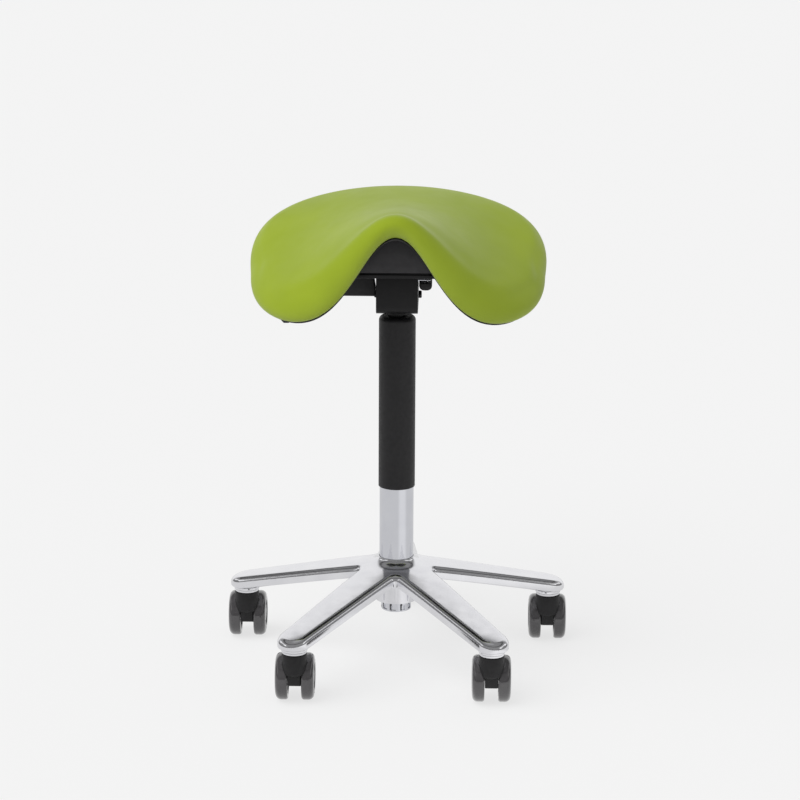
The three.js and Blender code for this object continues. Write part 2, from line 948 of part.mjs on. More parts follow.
// The carrier: a mounting plate with two ears that hang into the housing beside its walls.
function seatCarrier() {
  const root = plateFoot + plateThickness / 2;
  const pivotAndRear = [
    ...arc([pivotDepth, pivotHeight], earPivotRadius, earRoundStartAngle, earRoundEndAngle, 5),
    [housingRearDepth - earRearInset, plateFoot - earRearDrop],
    [housingRearDepth, plateFoot],
    [housingRearDepth, root],
  ];
  const chin = pivotHeight + earChinRise;
  const rightFront = rightEarInset - housingFrontDepth;
  const leftOutline = [[leftEarFront, root], [leftEarFront, chin], ...pivotAndRear];
  const rightOutline = [
    [rightFront, root],
    [rightFront, pivotHeight + rightEarRise],
    [earChinDepth, chin],
    ...pivotAndRear,
  ];
  const plate = boxBetween(
    [plateEdgeInset - bridgeHalfWidth, bridgeFront + plateEdgeInset, plateFoot],
    [bridgeHalfWidth - plateEdgeInset, bridgeRear - plateEdgeInset, plateTop],
  );
  const leftEar = plateAcrossX(leftOutline, -earOuter, earThickness - earOuter);
  const rightEar = plateAcrossX(rightOutline, earOuter - earThickness, earOuter);
  const pivotHole = crossHole(pivotRadius + seatingGap, pivotDepth, pivotHeight, -housingBore, housingBore);
  return cutFrom(
    joined(plate, leftEar, rightEar),
    pivotHole,
    ...screwBores(plateFoot - cutOverrun, plateTop + cutOverrun),
  );
}

function screwPlaces() {
  const across = bridgeHalfWidth - screwEdgeInset;
  return [bridgeFront + screwEdgeInset, bridgeRear - screwEdgeInset].flatMap((y) => [
    [-across, y],
    [across, y],
  ]);
}

function screwBores(foot, top) {
  return screwPlaces().map(([x, y]) => rod(screwRadius + seatingGap, foot, top).translate(x, y, 0));
}

place("seat_carrier", seatCarrier(), blackPaint);

function mountingScrew() {
  const headTop = plateFoot - seatingGap;
  const headFoot = headTop - screwHeadHeight;
  return turned(
    [
      [0, headFoot],
      [screwHeadRadius - screwHeadCrown, headFoot],
      [screwHeadRadius, headFoot + screwHeadCrown],
      [screwHeadRadius, headTop],
      [screwRadius, headTop],
      [screwRadius, bridgeFoot + screwDepth],
      [0, bridgeFoot + screwDepth],
    ],
    smallSides,
  );
}

screwPlaces().forEach(([x, y], index) => {
  const screw = place(`mounting_screw_${index + 1}`, mountingScrew(), zincSteel);
  screw.position.set(x, y, 0);
});

// Height lever

// A flat bar that enters the housing through its left wall and rises to lie over the release pin.
function heightLeverArm() {
  const thickness = leverArmThickness;
  const tangTop = leverFulcrum + thickness / 2;
  const tangFoot = leverFulcrum - thickness / 2;
  const tangEnd = housingHalfWidth + leverTangLength;
  const riserInner = socketRadius + leverRiserClearance;
  const riserOuter = housingBore - leverRiserClearance;
  return plateAcrossY(
    [
      [-tangEnd, tangFoot],
      [thickness - riserOuter, tangFoot],
      [-riserInner, leverPressFoot],
      [leverReachPastPin, leverPressFoot],
      [leverReachPastPin, leverPressFoot + thickness],
      [-riserInner - thickness, leverPressFoot + thickness],
      [-riserOuter, tangTop],
      [-tangEnd, tangTop],
    ],
    -leverArmWidth / 2,
    leverArmWidth / 2,
  );
}

place("height_lever_arm", heightLeverArm(), zincSteel);

function heightLeverGrip() {
  const start = housingHalfWidth + leverGripGap;
  const gripTop = leverFulcrum + leverGripRise;
  const gripFoot = leverFulcrum - leverGripDrop;
  const tip = housingHalfWidth + leverTipReach;
  const tipTop = leverFulcrum - leverTipDrop;
  const tipFoot = tipTop - leverTipHeight;
  const slotAcross = leverArmWidth / 2 + seatingGap;
  const slotUp = leverArmThickness / 2 + seatingGap;
  const slotEnd = housingHalfWidth + leverTangLength + seatingGap;
  const outline = [
    [leverTipWidth - tip, tipFoot],
    [-housingHalfWidth - leverGripBendFoot, gripFoot],
    [-start, gripFoot],
    [-start, gripTop],
    [-housingHalfWidth - leverGripBendTop, gripTop],
    [leverTipChamfer - tip, tipTop],
    [-tip, tipTop - leverTipChamfer],
    [-tip, tipFoot + leverTipChamfer],
    [leverTipChamfer - tip, tipFoot],
  ];
  const across = slotAcross + leverGripWall;
  return cutFrom(
    solid(plateAcrossY(outline, -across, across)),
    boxBetween(
      [-slotEnd, -slotAcross, leverFulcrum - slotUp],
      [cutOverrun - start, slotAcross, leverFulcrum + slotUp],
    ),
  );
}

place("height_lever_grip", heightLeverGrip(), blackPlastic);

// Tilt lever

function atLock(geometry) {
  return geometry.translate(0, lockDepth, lockHeight);
}

const lockRodEnd = housingHalfWidth + lockRodReach;
const lockWasherOuter = lockRodEnd - lockWasherInset;
const lockWasherInner = lockWasherOuter - lockWasherThickness;

function tiltLeverRod() {
  return atLock(alongX(rod(lockRodRadius, earOuter + seatingGap, lockRodEnd)));
}

place("tilt_lever_rod", tiltLeverRod(), chromedSteel);

function tiltLeverWasher() {
  const bore = lockRodRadius + seatingGap;
  return atLock(alongX(ring(bore, lockWasherRadius, lockWasherInner, lockWasherOuter)));
}

place("tilt_lever_washer", tiltLeverWasher(), zincSteel);

// The grip hangs just under the rod and points to the rear, with rounded lower edges.
function tiltLeverGrip() {
  const top = lockHeight - lockRodRadius - seatingGap;
  const foot = top - lockGripHeight;
  const inner = housingHalfWidth + lockGripGap;
  const outer = inner + lockGripWidth;
  const corner = lockGripCorner;
  const outline = [
    ...arc([inner + corner, foot + corner], corner, Math.PI, 1.5 * Math.PI, 3),
    ...arc([outer - corner, foot + corner], corner, 1.5 * Math.PI, 2 * Math.PI, 3),
    [outer, top],
    [inner, top],
  ];
  const washerSpace = rod(
    lockWasherRadius + seatingGap,
    lockWasherInner - seatingGap,
    lockWasherOuter + seatingGap,
  );
  const bar = plateAcrossY(outline, lockDepth - lockGripFront, lockDepth + lockGripRear);
  return cutFrom(solid(bar), atLock(alongX(washerSpace)));
}

place("tilt_lever_grip", tiltLeverGrip(), blackPlastic);

// Seat

// The crown line's height from pommel to cantle, at a share of the seat's length.
function crownHeight(along) {
  return pommelHeight - crownFall * along - crownDip * Math.sin(Math.PI * along) ** 2;
}

// An arch across the seat: a drop that levels out beyond its width.
function archDrop(x, width, drop) {
  return drop * (1 - Math.exp(-((x / width) ** 2)));
}

function alongSeat(y) {
  return THREE.MathUtils.clamp((y - seatFront) / seatLength, 0, 1);
}

function archWidthAt(along) {
  return frontArchWidth + (rearArchWidth - frontArchWidth) * along ** archEasePower;
}

function archDropAt(along) {
  return frontDrop + (rearDrop - frontDrop) * along ** dropEasePower;
}

function undersideHeight(x, y) {
  const along = alongSeat(y);
  return crownHeight(along) - cushionThickness - archDrop(x, archWidthAt(along), archDropAt(along));
}

// The top's arch is wider and deeper than the underside's towards the front, where the pad thins.
function topsideHeight(x, y) {
  const along = alongSeat(y);
  const width = archWidthAt(along) + topExtraWidth * (1 - along);
  const drop = archDropAt(along) + topExtraDrop * (1 - along);
  return crownHeight(along) - archDrop(x, width, drop);
}

// The seat's plan outline: a squared oval, narrower in front, with its points crowded to the front.
function seatOutline() {
  const power = seatSquarenessPower;
  return Array.from({ length: rimPointCount }, (_, index) => {
    const even = (2 * Math.PI * index) / rimPointCount;
    const angle = even - frontCrowdingShare * Math.sin(even);
    const across = Math.sin(angle);
    const forward = Math.cos(angle);
    const scale = (Math.abs(across) ** power + Math.abs(forward) ** power) ** (-1 / power);
    const forwardShare = Math.sign(forward) * Math.abs(scale * forward) ** (power / 2);
    const x = seatHalfWidth * scale * across * (1 - seatEggShare * forwardShare);
    return [x, seatMiddle - (seatLength / 2) * scale * forward];
  });
}

// The outline drawn in towards the middle by a length.
function drawnIn(inset) {
  return seatOutline().map(([x, y]) => {
    const reach = Math.hypot(x, y - seatMiddle);
    const share = (reach - inset) / reach;
    return [x * share, seatMiddle + (y - seatMiddle) * share];
  });
}

function scaledIn(outline, share) {
  return outline.map(([x, y]) => [x * share, seatMiddle + (y - seatMiddle) * share]);
}

function lifted(outline, heightAt) {
  return outline.map(([x, y]) => [x, y, heightAt(x, y)]);
}

// One row of the rounded edge, from the rim's top at step zero round to the underside.
function rollRow(step) {
  const angle = (Math.PI * step) / rollStepCount;
  const share = (1 - Math.cos(angle)) / 2;
  return lifted(drawnIn(cushionEdge * (1 - Math.sin(angle))), (x, y) => {
    return topsideHeight(x, y) * (1 - share) + undersideHeight(x, y) * share;
  });
}

// Rows over the underside, from the rolled edge's end to near the middle.
function undersideRows() {
  const margin = drawnIn(cushionEdge);
  return [margin, ...underRowShares.map((share) => scaledIn(margin, share))].map((row) => {
    return lifted(row, undersideHeight);
  });
}

function seatCushion() {
  const margin = drawnIn(cushionEdge);
  const topRows = topRowShares.map((share) => lifted(scaledIn(margin, share), topsideHeight));
  const roll = Array.from({ length: rollStepCount }, (_, step) => rollRow(step));
  return skin(
    [0, seatMiddle, topsideHeight(0, seatMiddle)],
    [...topRows, ...roll, ...undersideRows()],
    [0, seatMiddle, undersideHeight(0, seatMiddle)],
  );
}

place("seat_cushion", seatCushion(), greenVinyl);

// A sheet under the cushion, between two depths below its underside, with a rounded rim.
function underSheet(topDepth, footDepth) {
  const rows = undersideRows();
  const lastRoll = rollRow(rollStepCount - 1);
  const lastRollInset = cushionEdge * (1 - Math.sin(Math.PI / rollStepCount));
  const rimShare = (cushionEdge - shellEdge) / (cushionEdge - lastRollInset);
  const roundShare = (cushionEdge - shellEdge - shellEdgeRound) / (cushionEdge - lastRollInset);
  const towardsRoll = (share) =>
    rows[0].map((point, index) => {
      return point.map((value, axis) => value + (lastRoll[index][axis] - value) * share);
    });
  const sunk = (row, depth) => row.map(([x, y, z]) => [x, y, z - depth]);
  const middleDepth = (topDepth + footDepth) / 2;
  const centre = undersideHeight(0, seatMiddle);
  return skin(
    [0, seatMiddle, centre - topDepth],
    [
      ...rows.toReversed().map((row) => sunk(row, topDepth)),
      sunk(towardsRoll(roundShare), topDepth + shellRimDrop),
      sunk(towardsRoll(rimShare), middleDepth),
      sunk(towardsRoll(roundShare), footDepth),
      ...rows.map((row) => sunk(row, footDepth)),
    ],
    [0, seatMiddle, centre - footDepth],
  );
}

const shellFootDepth = seatingGap + shellThickness;
place("seat_shell", underSheet(seatingGap, shellFootDepth), shellPlastic);

// The bridge fills the arch under the shell down to a flat foot for the mounting plate.
function seatBridge() {
  const block = boxBetween(
    [-bridgeHalfWidth, bridgeFront, bridgeFoot],
    [bridgeHalfWidth, bridgeRear, pommelHeight],
  );
  const aboveShell = underSheet(-pommelHeight, shellFootDepth + seatingGap);
  const bores = screwBores(bridgeFoot - cutOverrun, bridgeFoot + screwDepth + seatingGap);
  return cutFrom(solid(block), aboveShell, ...bores);
}

place("seat_bridge", seatBridge(), shellPlastic);

// The origin is on the floor, midway between the foremost and rearmost reach of the base.
const frontReach = casterCircleRadius * Math.cos(armPitch / 2) + armTipHalfWidth;
const rearReach = casterCircleRadius + casterTrail + wheelRadius;
stool.position.y = (frontReach - rearReach) / 2;

export default stool;
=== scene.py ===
import math

import bmesh
import bpy
from mathutils import Matrix, Vector, kdtree


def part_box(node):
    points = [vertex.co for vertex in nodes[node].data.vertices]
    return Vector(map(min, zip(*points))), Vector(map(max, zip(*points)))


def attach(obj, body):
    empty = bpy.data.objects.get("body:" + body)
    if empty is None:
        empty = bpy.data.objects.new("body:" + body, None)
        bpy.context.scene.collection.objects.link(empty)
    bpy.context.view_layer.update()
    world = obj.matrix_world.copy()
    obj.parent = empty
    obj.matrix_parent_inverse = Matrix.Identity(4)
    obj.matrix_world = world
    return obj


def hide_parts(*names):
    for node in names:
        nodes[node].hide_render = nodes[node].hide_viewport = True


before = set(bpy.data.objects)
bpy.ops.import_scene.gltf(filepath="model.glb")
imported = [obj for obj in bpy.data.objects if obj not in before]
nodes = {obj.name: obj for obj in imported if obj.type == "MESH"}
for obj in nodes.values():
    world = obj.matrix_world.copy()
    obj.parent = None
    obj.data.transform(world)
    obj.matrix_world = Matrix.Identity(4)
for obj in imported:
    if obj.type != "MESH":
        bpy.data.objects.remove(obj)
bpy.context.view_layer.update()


# Castor wheels. Each castor runs on two wheels of polished grey nylon, pressed on the ends of a steel axle.
# The outer face is dished inside a fine ring groove, with a round cap over the axle's end.

COLUMN_Y = sum(corner.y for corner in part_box("column_sleeve")) / 2
ARMS = 5
CASTOR_CIRCLE = 239
CASTOR_TRAIL = 20
WHEEL_RADIUS = 34
WHEEL_GAP = 20
WHEEL_WIDTH = 18
WHEEL_BORE = 4.3
BORE_END = 4


def linear(hex_colour):
    """An sRGB hex colour as the linear colour that shaders take."""
    shares = [int(hex_colour[at:at + 2], 16) / 255 for at in (1, 3, 5)]
    return (*(s / 12.92 if s <= 0.04045 else ((s + 0.055) / 1.055) ** 2.4 for s in shares), 1.0)


def add(tree, kind, inputs=None, **settings):
    """A new node with its settings; an input is a value or the socket that it is linked to."""
    node = tree.nodes.new(kind)
    for name, value in settings.items():
        setattr(node, name, value)
    for name, value in (inputs or {}).items():
        if isinstance(value, bpy.types.NodeSocket):
            tree.links.new(value, node.inputs[name])
        else:
            node.inputs[name].default_value = value
    return node


def finish_named(name, **sockets):
    """A material with its shader, and the place on the object that its patterns read."""
    material = bpy.data.materials.new(name)
    material.use_nodes = True
    tree = material.node_tree
    shader = tree.nodes["Principled BSDF"]
    for socket, value in sockets.items():
        shader.inputs[socket.replace("_", " ")].default_value = value
    return material, tree, shader, add(tree, "ShaderNodeTexCoord").outputs["Object"]


def size_mm(size):
    """A texture's scale from the real size of one of its cells."""
    return 1000 / size


def cloudy(tree, place, size, low=0.0, high=1.0, detail=3):
    """A number that drifts from low to high over patches of a real size."""
    noise = add(tree, "ShaderNodeTexNoise", {"Vector": place, "Scale": size_mm(size), "Detail": detail})
    spread = {"Value": noise.outputs["Fac"], "From Min": 0.3, "From Max": 0.7, "To Min": low, "To Max": high}
    return add(tree, "ShaderNodeMapRange", spread).outputs[0]


def coloured(tree, shader, share, colours, roughness):
    """A base colour between two hex colours, and a roughness that varies over the surface."""
    tint = {0: share, 6: linear(colours[0]), 7: linear(colours[1])}
    tree.links.new(add(tree, "ShaderNodeMix", tint, data_type="RGBA").outputs[2], shader.inputs["Base Color"])
    tree.links.new(roughness, shader.inputs["Roughness"])


def grained(tree, shader, place, size, depth, detail=2, harshness=0.5):
    """An uneven relief with cells of a real size and a real depth, both in millimetres."""
    noise = add(tree, "ShaderNodeTexNoise", {"Vector": place, "Scale": size_mm(size), "Detail": detail,
                                             "Roughness": harshness})
    bump = add(tree, "ShaderNodeBump", {"Height": noise.outputs["Fac"], "Distance": depth / 1000})
    tree.links.new(bump.outputs[0], shader.inputs["Normal"])


def tidy(bm):
    """One closed skin: its doubles are merged and its faces point outwards."""
    bmesh.ops.remove_doubles(bm, verts=bm.verts, dist=0.002)
    bmesh.ops.recalc_face_normals(bm, faces=bm.faces)
    return bm


def turned(profile, sides=64):
    """A profile of (radius, height) points spun round the Z axis."""
    bm = bmesh.new()
    wire = [bm.verts.new((radius, 0, height)) for radius, height in profile]
    edges = [bm.edges.new(pair) for pair in zip(wire, wire[1:])]
    bmesh.ops.spin(bm, geom=wire + edges, cent=(0, 0, 0), axis=(0, 0, 1), angle=math.tau, steps=sides,
                   use_merge=True)
    return tidy(bm)


def rounded(corners, steps=5):
    """A profile with its (x, y, radius) corners rounded; a corner without a radius stays sharp."""
    outline = []
    for index, corner in enumerate(corners):
        here = Vector(corner[:2])
        if len(corner) < 3:
            outline.append(tuple(here))
            continue
        radius = corner[2]
        before = (Vector(corners[index - 1][:2]) - here).normalized()
        after = (Vector(corners[(index + 1) % len(corners)][:2]) - here).normalized()
        half = before.angle(after) / 2
        centre = here + (before + after).normalized() * (radius / math.sin(half))
        reach = radius / math.tan(half)
        start, end = here + before * reach - centre, here + after * reach - centre
        first = math.atan2(start.y, start.x)
        sweep = (math.atan2(end.y, end.x) - first + math.pi) % math.tau - math.pi
        for step in range(steps + 1):
            angle = first + sweep * step / steps
            outline.append((centre.x + radius * math.cos(angle), centre.y + radius * math.sin(angle)))
    return outline


def laid_along_x(bm, flipped=False):
    quarter = Matrix.Rotation(math.radians(-90 if flipped else 90), 3, "Y")
    bmesh.ops.rotate(bm, verts=bm.verts, cent=(0, 0, 0), matrix=quarter)
    return bm


def moved(bm, x, y, z):
    bmesh.ops.translate(bm, verts=bm.verts, vec=(x, y, z))
    return bm


def piece(name, bm, material, body, slot, *replaced, sharp=32):
    """The finished object: from millimetres round the column to metres in the frame, riding on its body."""
    bmesh.ops.scale(bm, verts=bm.verts, vec=(0.001, 0.001, 0.001))
    bmesh.ops.translate(bm, verts=bm.verts, vec=(0, COLUMN_Y, 0))
    mesh = bpy.data.meshes.new(name)
    bm.to_mesh(mesh)
    bm.free()
    mesh.shade_smooth()
    mesh.set_sharp_from_angle(angle=math.radians(sharp))
    mesh.materials.append(material)
    finished = bpy.data.objects.new(name, mesh)
    bpy.context.scene.collection.objects.link(finished)
    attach(finished, body)
    if replaced:
        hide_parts(*replaced)
    return finished


def castor_places():
    """The number of each castor with its stem's place, from the rear arm round."""
    for arm in range(ARMS):
        angle = math.pi / 2 + arm * math.tau / ARMS
        yield arm + 1, CASTOR_CIRCLE * math.cos(angle), CASTOR_CIRCLE * math.sin(angle)


# Nylon moulded in a polished tool, so it has a clear gloss with soft-edged reflections, and a little floor
# dust.
wheel_nylon, tree, shader, place = finish_named("polished_moulded_nylon_grey", IOR=1.53, Coat_Weight=1.0,
                                                Coat_Roughness=0.05)
coloured(tree, shader, cloudy(tree, place, 14), ("#3F3D3F", "#464446"), cloudy(tree, place, 10, 0.17, 0.23))
grained(tree, shader, place, 1.2, 0.008)


def castor_wheel():
    inner, outer = WHEEL_GAP / 2, WHEEL_GAP / 2 + WHEEL_WIDTH
    bore = [(0, outer - BORE_END), (WHEEL_BORE, outer - BORE_END), (WHEEL_BORE, inner + 0.2)]
    inner_face = [(9, inner + 0.2, 0.4), (10.5, inner + 2.2, 0.8), (25, inner + 2.2, 1), (27, inner, 0.6)]
    tread = [(32.4, inner, 1.2), (WHEEL_RADIUS, inner + 2.4, 2), (WHEEL_RADIUS, outer - 1.5, 8)]
    groove = [(24.6, outer, 0.6), (24, outer - 0.9, 0.3), (23.2, outer - 0.9, 0.3), (22.6, outer, 0.5)]
    dish = [(20.6, outer, 0.6), (19, outer - 2, 1), (12.6, outer - 2.2, 0.5)]
    cap = [(12, outer - 0.9, 0.8), (7, outer - 0.7, 3), (0, outer - 0.6)]
    return turned(rounded(bore + inner_face + tread + groove + dish + cap), 72)


for number, x, y in castor_places():
    for side, flipped in (("right", False), ("left", True)):
        wheel = moved(laid_along_x(castor_wheel(), flipped), x, y + CASTOR_TRAIL, WHEEL_RADIUS)
        piece(f"wheel_{side}_{number}_turned", wheel, wheel_nylon, f"wheel_{side}_{number}", "wheel_plastic",
              f"caster_wheel_{side}_{number}")


# Castor hoods, stems and axles. The hood is one black nylon moulding: a round head for the stem, and a web
# between the wheels that carries the axle. Stem and axle are zinc-plated steel pins, pressed in.

HOOD_RADIUS = 18
HOOD_TOP = 77
HOOD_SKIRT = 44
STEM_SOCKET = 6.2
SOCKET_DEPTH = 3
WEB_HALF = 9.2
WEB_VIEW = [(-13, 31), (7, 23), (25, 23), (33, 31), (33, 46), (17, 62), (-13, 62)]
WHEEL_SPACE = WHEEL_RADIUS + 1.4
SPACE_REACH = 40
HOOD_EDGE = 0.6

# Fine spark-eroded texture, as tools for black nylon have: matt, with a soft grey sheen at low angles. The
# real grain is about 0.15 mm and would not show, so it is drawn at 0.7 mm.
black_nylon, tree, shader, place = finish_named("spark_textured_black_nylon", IOR=1.53,
                                                Specular_IOR_Level=0.4)
coloured(tree, shader, cloudy(tree, place, 14), ("#121113", "#171618"), cloudy(tree, place, 5, 0.46, 0.58))
grained(tree, shader, place, 0.7, 0.06, detail=3, harshness=0.6)

# Clear zinc plate over drawn steel: a cool grey with faint cloudy patches.
zinc_plate, tree, shader, place = finish_named("clear_zinc_plated_steel", Metallic=1.0)
coloured(tree, shader, cloudy(tree, place, 6), ("#A9AAAC", "#C3C3C0"), cloudy(tree, place, 3, 0.28, 0.42))
grained(tree, shader, place, 0.8, 0.02)


def dress(material, *names):
    """The material on CAD nodes that stay as they are."""
    for name in names:
        nodes[name].data.materials.clear()
        nodes[name].data.materials.append(material)


def new_points(grown):
    """The vertices among what an extrusion made."""
    return [part for part in grown if isinstance(part, bmesh.types.BMVert)]


def slab(outline, low, high, across):
    """A flat outline made a plate from low to high along one axis."""
    bm = bmesh.new()
    at = {"X": lambda u, v: (low, u, v), "Y": lambda u, v: (u, low, v), "Z": lambda u, v: (u, v, low)}[across]
    face = bm.faces.new([bm.verts.new(at(*point)) for point in outline])
    grown = bmesh.ops.extrude_face_region(bm, geom=[face])["geom"]
    reach = Vector([high - low if axis == across else 0 for axis in "XYZ"])
    bmesh.ops.translate(bm, verts=new_points(grown), vec=reach)
    return tidy(bm)


def softened(bm, width, segments=3, angle=28):
    """Rounded edges wherever two faces meet at more than an angle."""
    edges = [e for e in bm.edges if len(e.link_faces) == 2 and e.calc_face_angle(0) > math.radians(angle)]
    bmesh.ops.bevel(bm, geom=edges, offset=width, affect="EDGES", segments=segments, profile=0.5, material=-1,
                    clamp_overlap=True)
    return tidy(bm)


def shaped(base, operation, *tools):
    """A base joined with, or cut by, other closed shapes."""
    made = []
    for bm in (base, *tools):
        mesh = bpy.data.meshes.new("shape")
        bm.to_mesh(mesh)
        bm.free()
        made.append(bpy.data.objects.new("shape", mesh))
        bpy.context.scene.collection.objects.link(made[-1])
    for tool in made[1:]:
        modifier = made[0].modifiers.new("cut", "BOOLEAN")
        modifier.operation, modifier.solver, modifier.object = operation, "EXACT", tool
    result = bmesh.new()
    result.from_object(made[0], bpy.context.evaluated_depsgraph_get())
    for shape in made:
        bpy.data.meshes.remove(shape.data)
    return tidy(result)


def castor_hood():
    head = turned(rounded([(0, HOOD_SKIRT), (HOOD_RADIUS, HOOD_SKIRT, 6), (HOOD_RADIUS, HOOD_TOP, 1.6),
                           (STEM_SOCKET, HOOD_TOP, 0.3), (STEM_SOCKET, HOOD_TOP - SOCKET_DEPTH),
                           (0, HOOD_TOP - SOCKET_DEPTH)]))
    web = softened(slab(WEB_VIEW, -WEB_HALF, WEB_HALF, "X"), 1.2)
    spaces = []
    for flipped in (True, False):
        space = turned([(0, WEB_HALF), (WHEEL_SPACE, WEB_HALF), (WHEEL_SPACE, SPACE_REACH),
                        (0, SPACE_REACH)], 96)
        spaces.append(moved(laid_along_x(space, flipped), 0, CASTOR_TRAIL, WHEEL_RADIUS))
    return shaped(shaped(head, "UNION", web), "DIFFERENCE", *spaces)


hood_form = castor_hood()
for number, x, y in castor_places():
    hood = piece(f"castor_hood_{number}_moulding", moved(hood_form.copy(), x, y, 0), black_nylon,
                 f"caster_{number}", "black_plastic", f"caster_hood_{number}")
    edge = hood.modifiers.new("edge", "BEVEL")
    edge.width, edge.segments = HOOD_EDGE / 1000, 2
    edge.limit_method, edge.angle_limit = "ANGLE", math.radians(40)
    dress(zinc_plate, f"caster_stem_{number}", f"caster_axle_{number}")
hood_form.free()


# Star base and castor collars. The base is one aluminium casting, ground and polished: five tapering arms
# with rounded upper edges, a hub that flares into the column, and hollow, ribbed undersides. A turned ring
# closes each arm's foot round the castor stem.

TIP_HALF = 24
TAPER = math.radians(2.5)
CROTCH_RADIUS = 6
ARM_SLOPE = 47 / 203
TIP_TOP = 104.4
ARM_DEPTH = 18
EDGE_ROUND = 9
LIP_ROUND = 2
POCKET_INSET = 6
ROOF = 9.5
FOOT = 85.7
HUB_TOP = 160.5
HUB_BORE = 25.3
BORE_FOOT = 157
HUB_NECK = 26
FLARE_START = 35
FLARE_REACH = 46
HUB_ROOF_REACH = 44
BOSS_RADIUS = 31.5
BOSS_BORE = 22.4
BOSS_FOOT = 93
STEM_BORE = 5.8
STEM_BOSS_RADIUS = 19
ARM_RIB_HALF = 1.6
HUB_RIBS = 10
HUB_RIB_HALF = 1.5
HUB_RIB_VIEW = [(30.5, 97), (32.6, 97), (40.5, 138), (30.5, 138)]
COLLAR_FOOT = 77.4
COLLAR_TOP = 85.3

# Hand-polished cast aluminium: a soft mirror with faint waves, 22 mm long, from the hand-held wheel.
polished_aluminium, tree, shader, place = finish_named("polished_cast_aluminium", Metallic=1.0)
coloured(tree, shader, cloudy(tree, place, 30), ("#E6E6EA", "#EEEEF1"), cloudy(tree, place, 18, 0.1, 0.17))
grained(tree, shader, place, 22, 0.04, detail=1)


def arm_top(radius):
    return TIP_TOP + ARM_SLOPE * (CASTOR_CIRCLE - radius)


def arc_points(centre, radius, start, end, steps):
    for step in range(steps + 1):
        angle = start + (end - start) * step / steps
        normal = Vector((math.cos(angle), math.sin(angle)))
        yield Vector(centre) + radius * normal, normal


def star_outline(tip_steps=24, crotch_steps=10, flank_steps=16):
    """The plan outline of the star with its outward normals."""
    half = math.pi / ARMS
    along = CASTOR_CIRCLE + TIP_HALF * math.sin(TAPER)
    across = TIP_HALF * math.cos(TAPER)
    flank = (along * math.tan(half) - across) / (math.sin(TAPER) + math.cos(TAPER) * math.tan(half))
    corner = (along - flank * math.cos(TAPER)) / math.cos(half)
    fillet = corner + CROTCH_RADIUS / math.sin(half + TAPER)
    turn_to = math.pi / 2 - TAPER
    parts = []
    for arm in range(ARMS):
        turn = math.pi / 2 + arm * math.tau / ARMS
        tip = (CASTOR_CIRCLE * math.cos(turn), CASTOR_CIRCLE * math.sin(turn))
        parts.append(list(arc_points(tip, TIP_HALF, turn - turn_to, turn + turn_to, tip_steps)))
        crotch = (fillet * math.cos(turn + half), fillet * math.sin(turn + half))
        parts.append(list(arc_points(crotch, -CROTCH_RADIUS, turn + turn_to, turn + 2 * half - turn_to,
                                     crotch_steps)))
    outline = []
    for part, following in zip(parts, parts[1:] + parts[:1]):
        outline += part
        (start, normal), (end, _) = part[-1], following[0]
        outline += [(start.lerp(end, step / flank_steps), normal) for step in range(1, flank_steps)]
    return outline


def loft(rows, closed=False, poles=None):
    """A skin over rows of points: each row is extruded from the last, and the ends are closed."""
    bm = bmesh.new()
    first = [bm.verts.new(point) for point in rows[0]]
    ring = first
    edges = [bm.edges.new(pair) for pair in zip(ring, ring[1:] + ring[:1])]
    if poles:
        rows = [*rows, [poles[1]] * len(first)]
    elif closed:
        rows = [*rows, rows[0]]
    for row in rows[1:]:
        grown = set(bmesh.ops.extrude_edge_only(bm, edges=edges)["geom"])
        edges = [part for part in grown if isinstance(part, bmesh.types.BMEdge)]
        ring = [next(end for end in (edge.other_vert(vertex) for edge in vertex.link_edges) if end in grown)
                for vertex in ring]
        for vertex, point in zip(ring, row):
            vertex.co = point
    if poles:
        pole = bm.verts.new(poles[0])
        for pair in zip(first, first[1:] + first[:1]):
            bm.faces.new((pole, *pair))
    return tidy(bm)


def bezier(points, steps):
    a, b, c, d = (Vector(p) for p in points)
    for step in range(steps + 1):
        t = step / steps
        yield a * (1 - t) ** 3 + b * 3 * t * (1 - t) ** 2 + c * 3 * t * t * (1 - t) + d * t ** 3


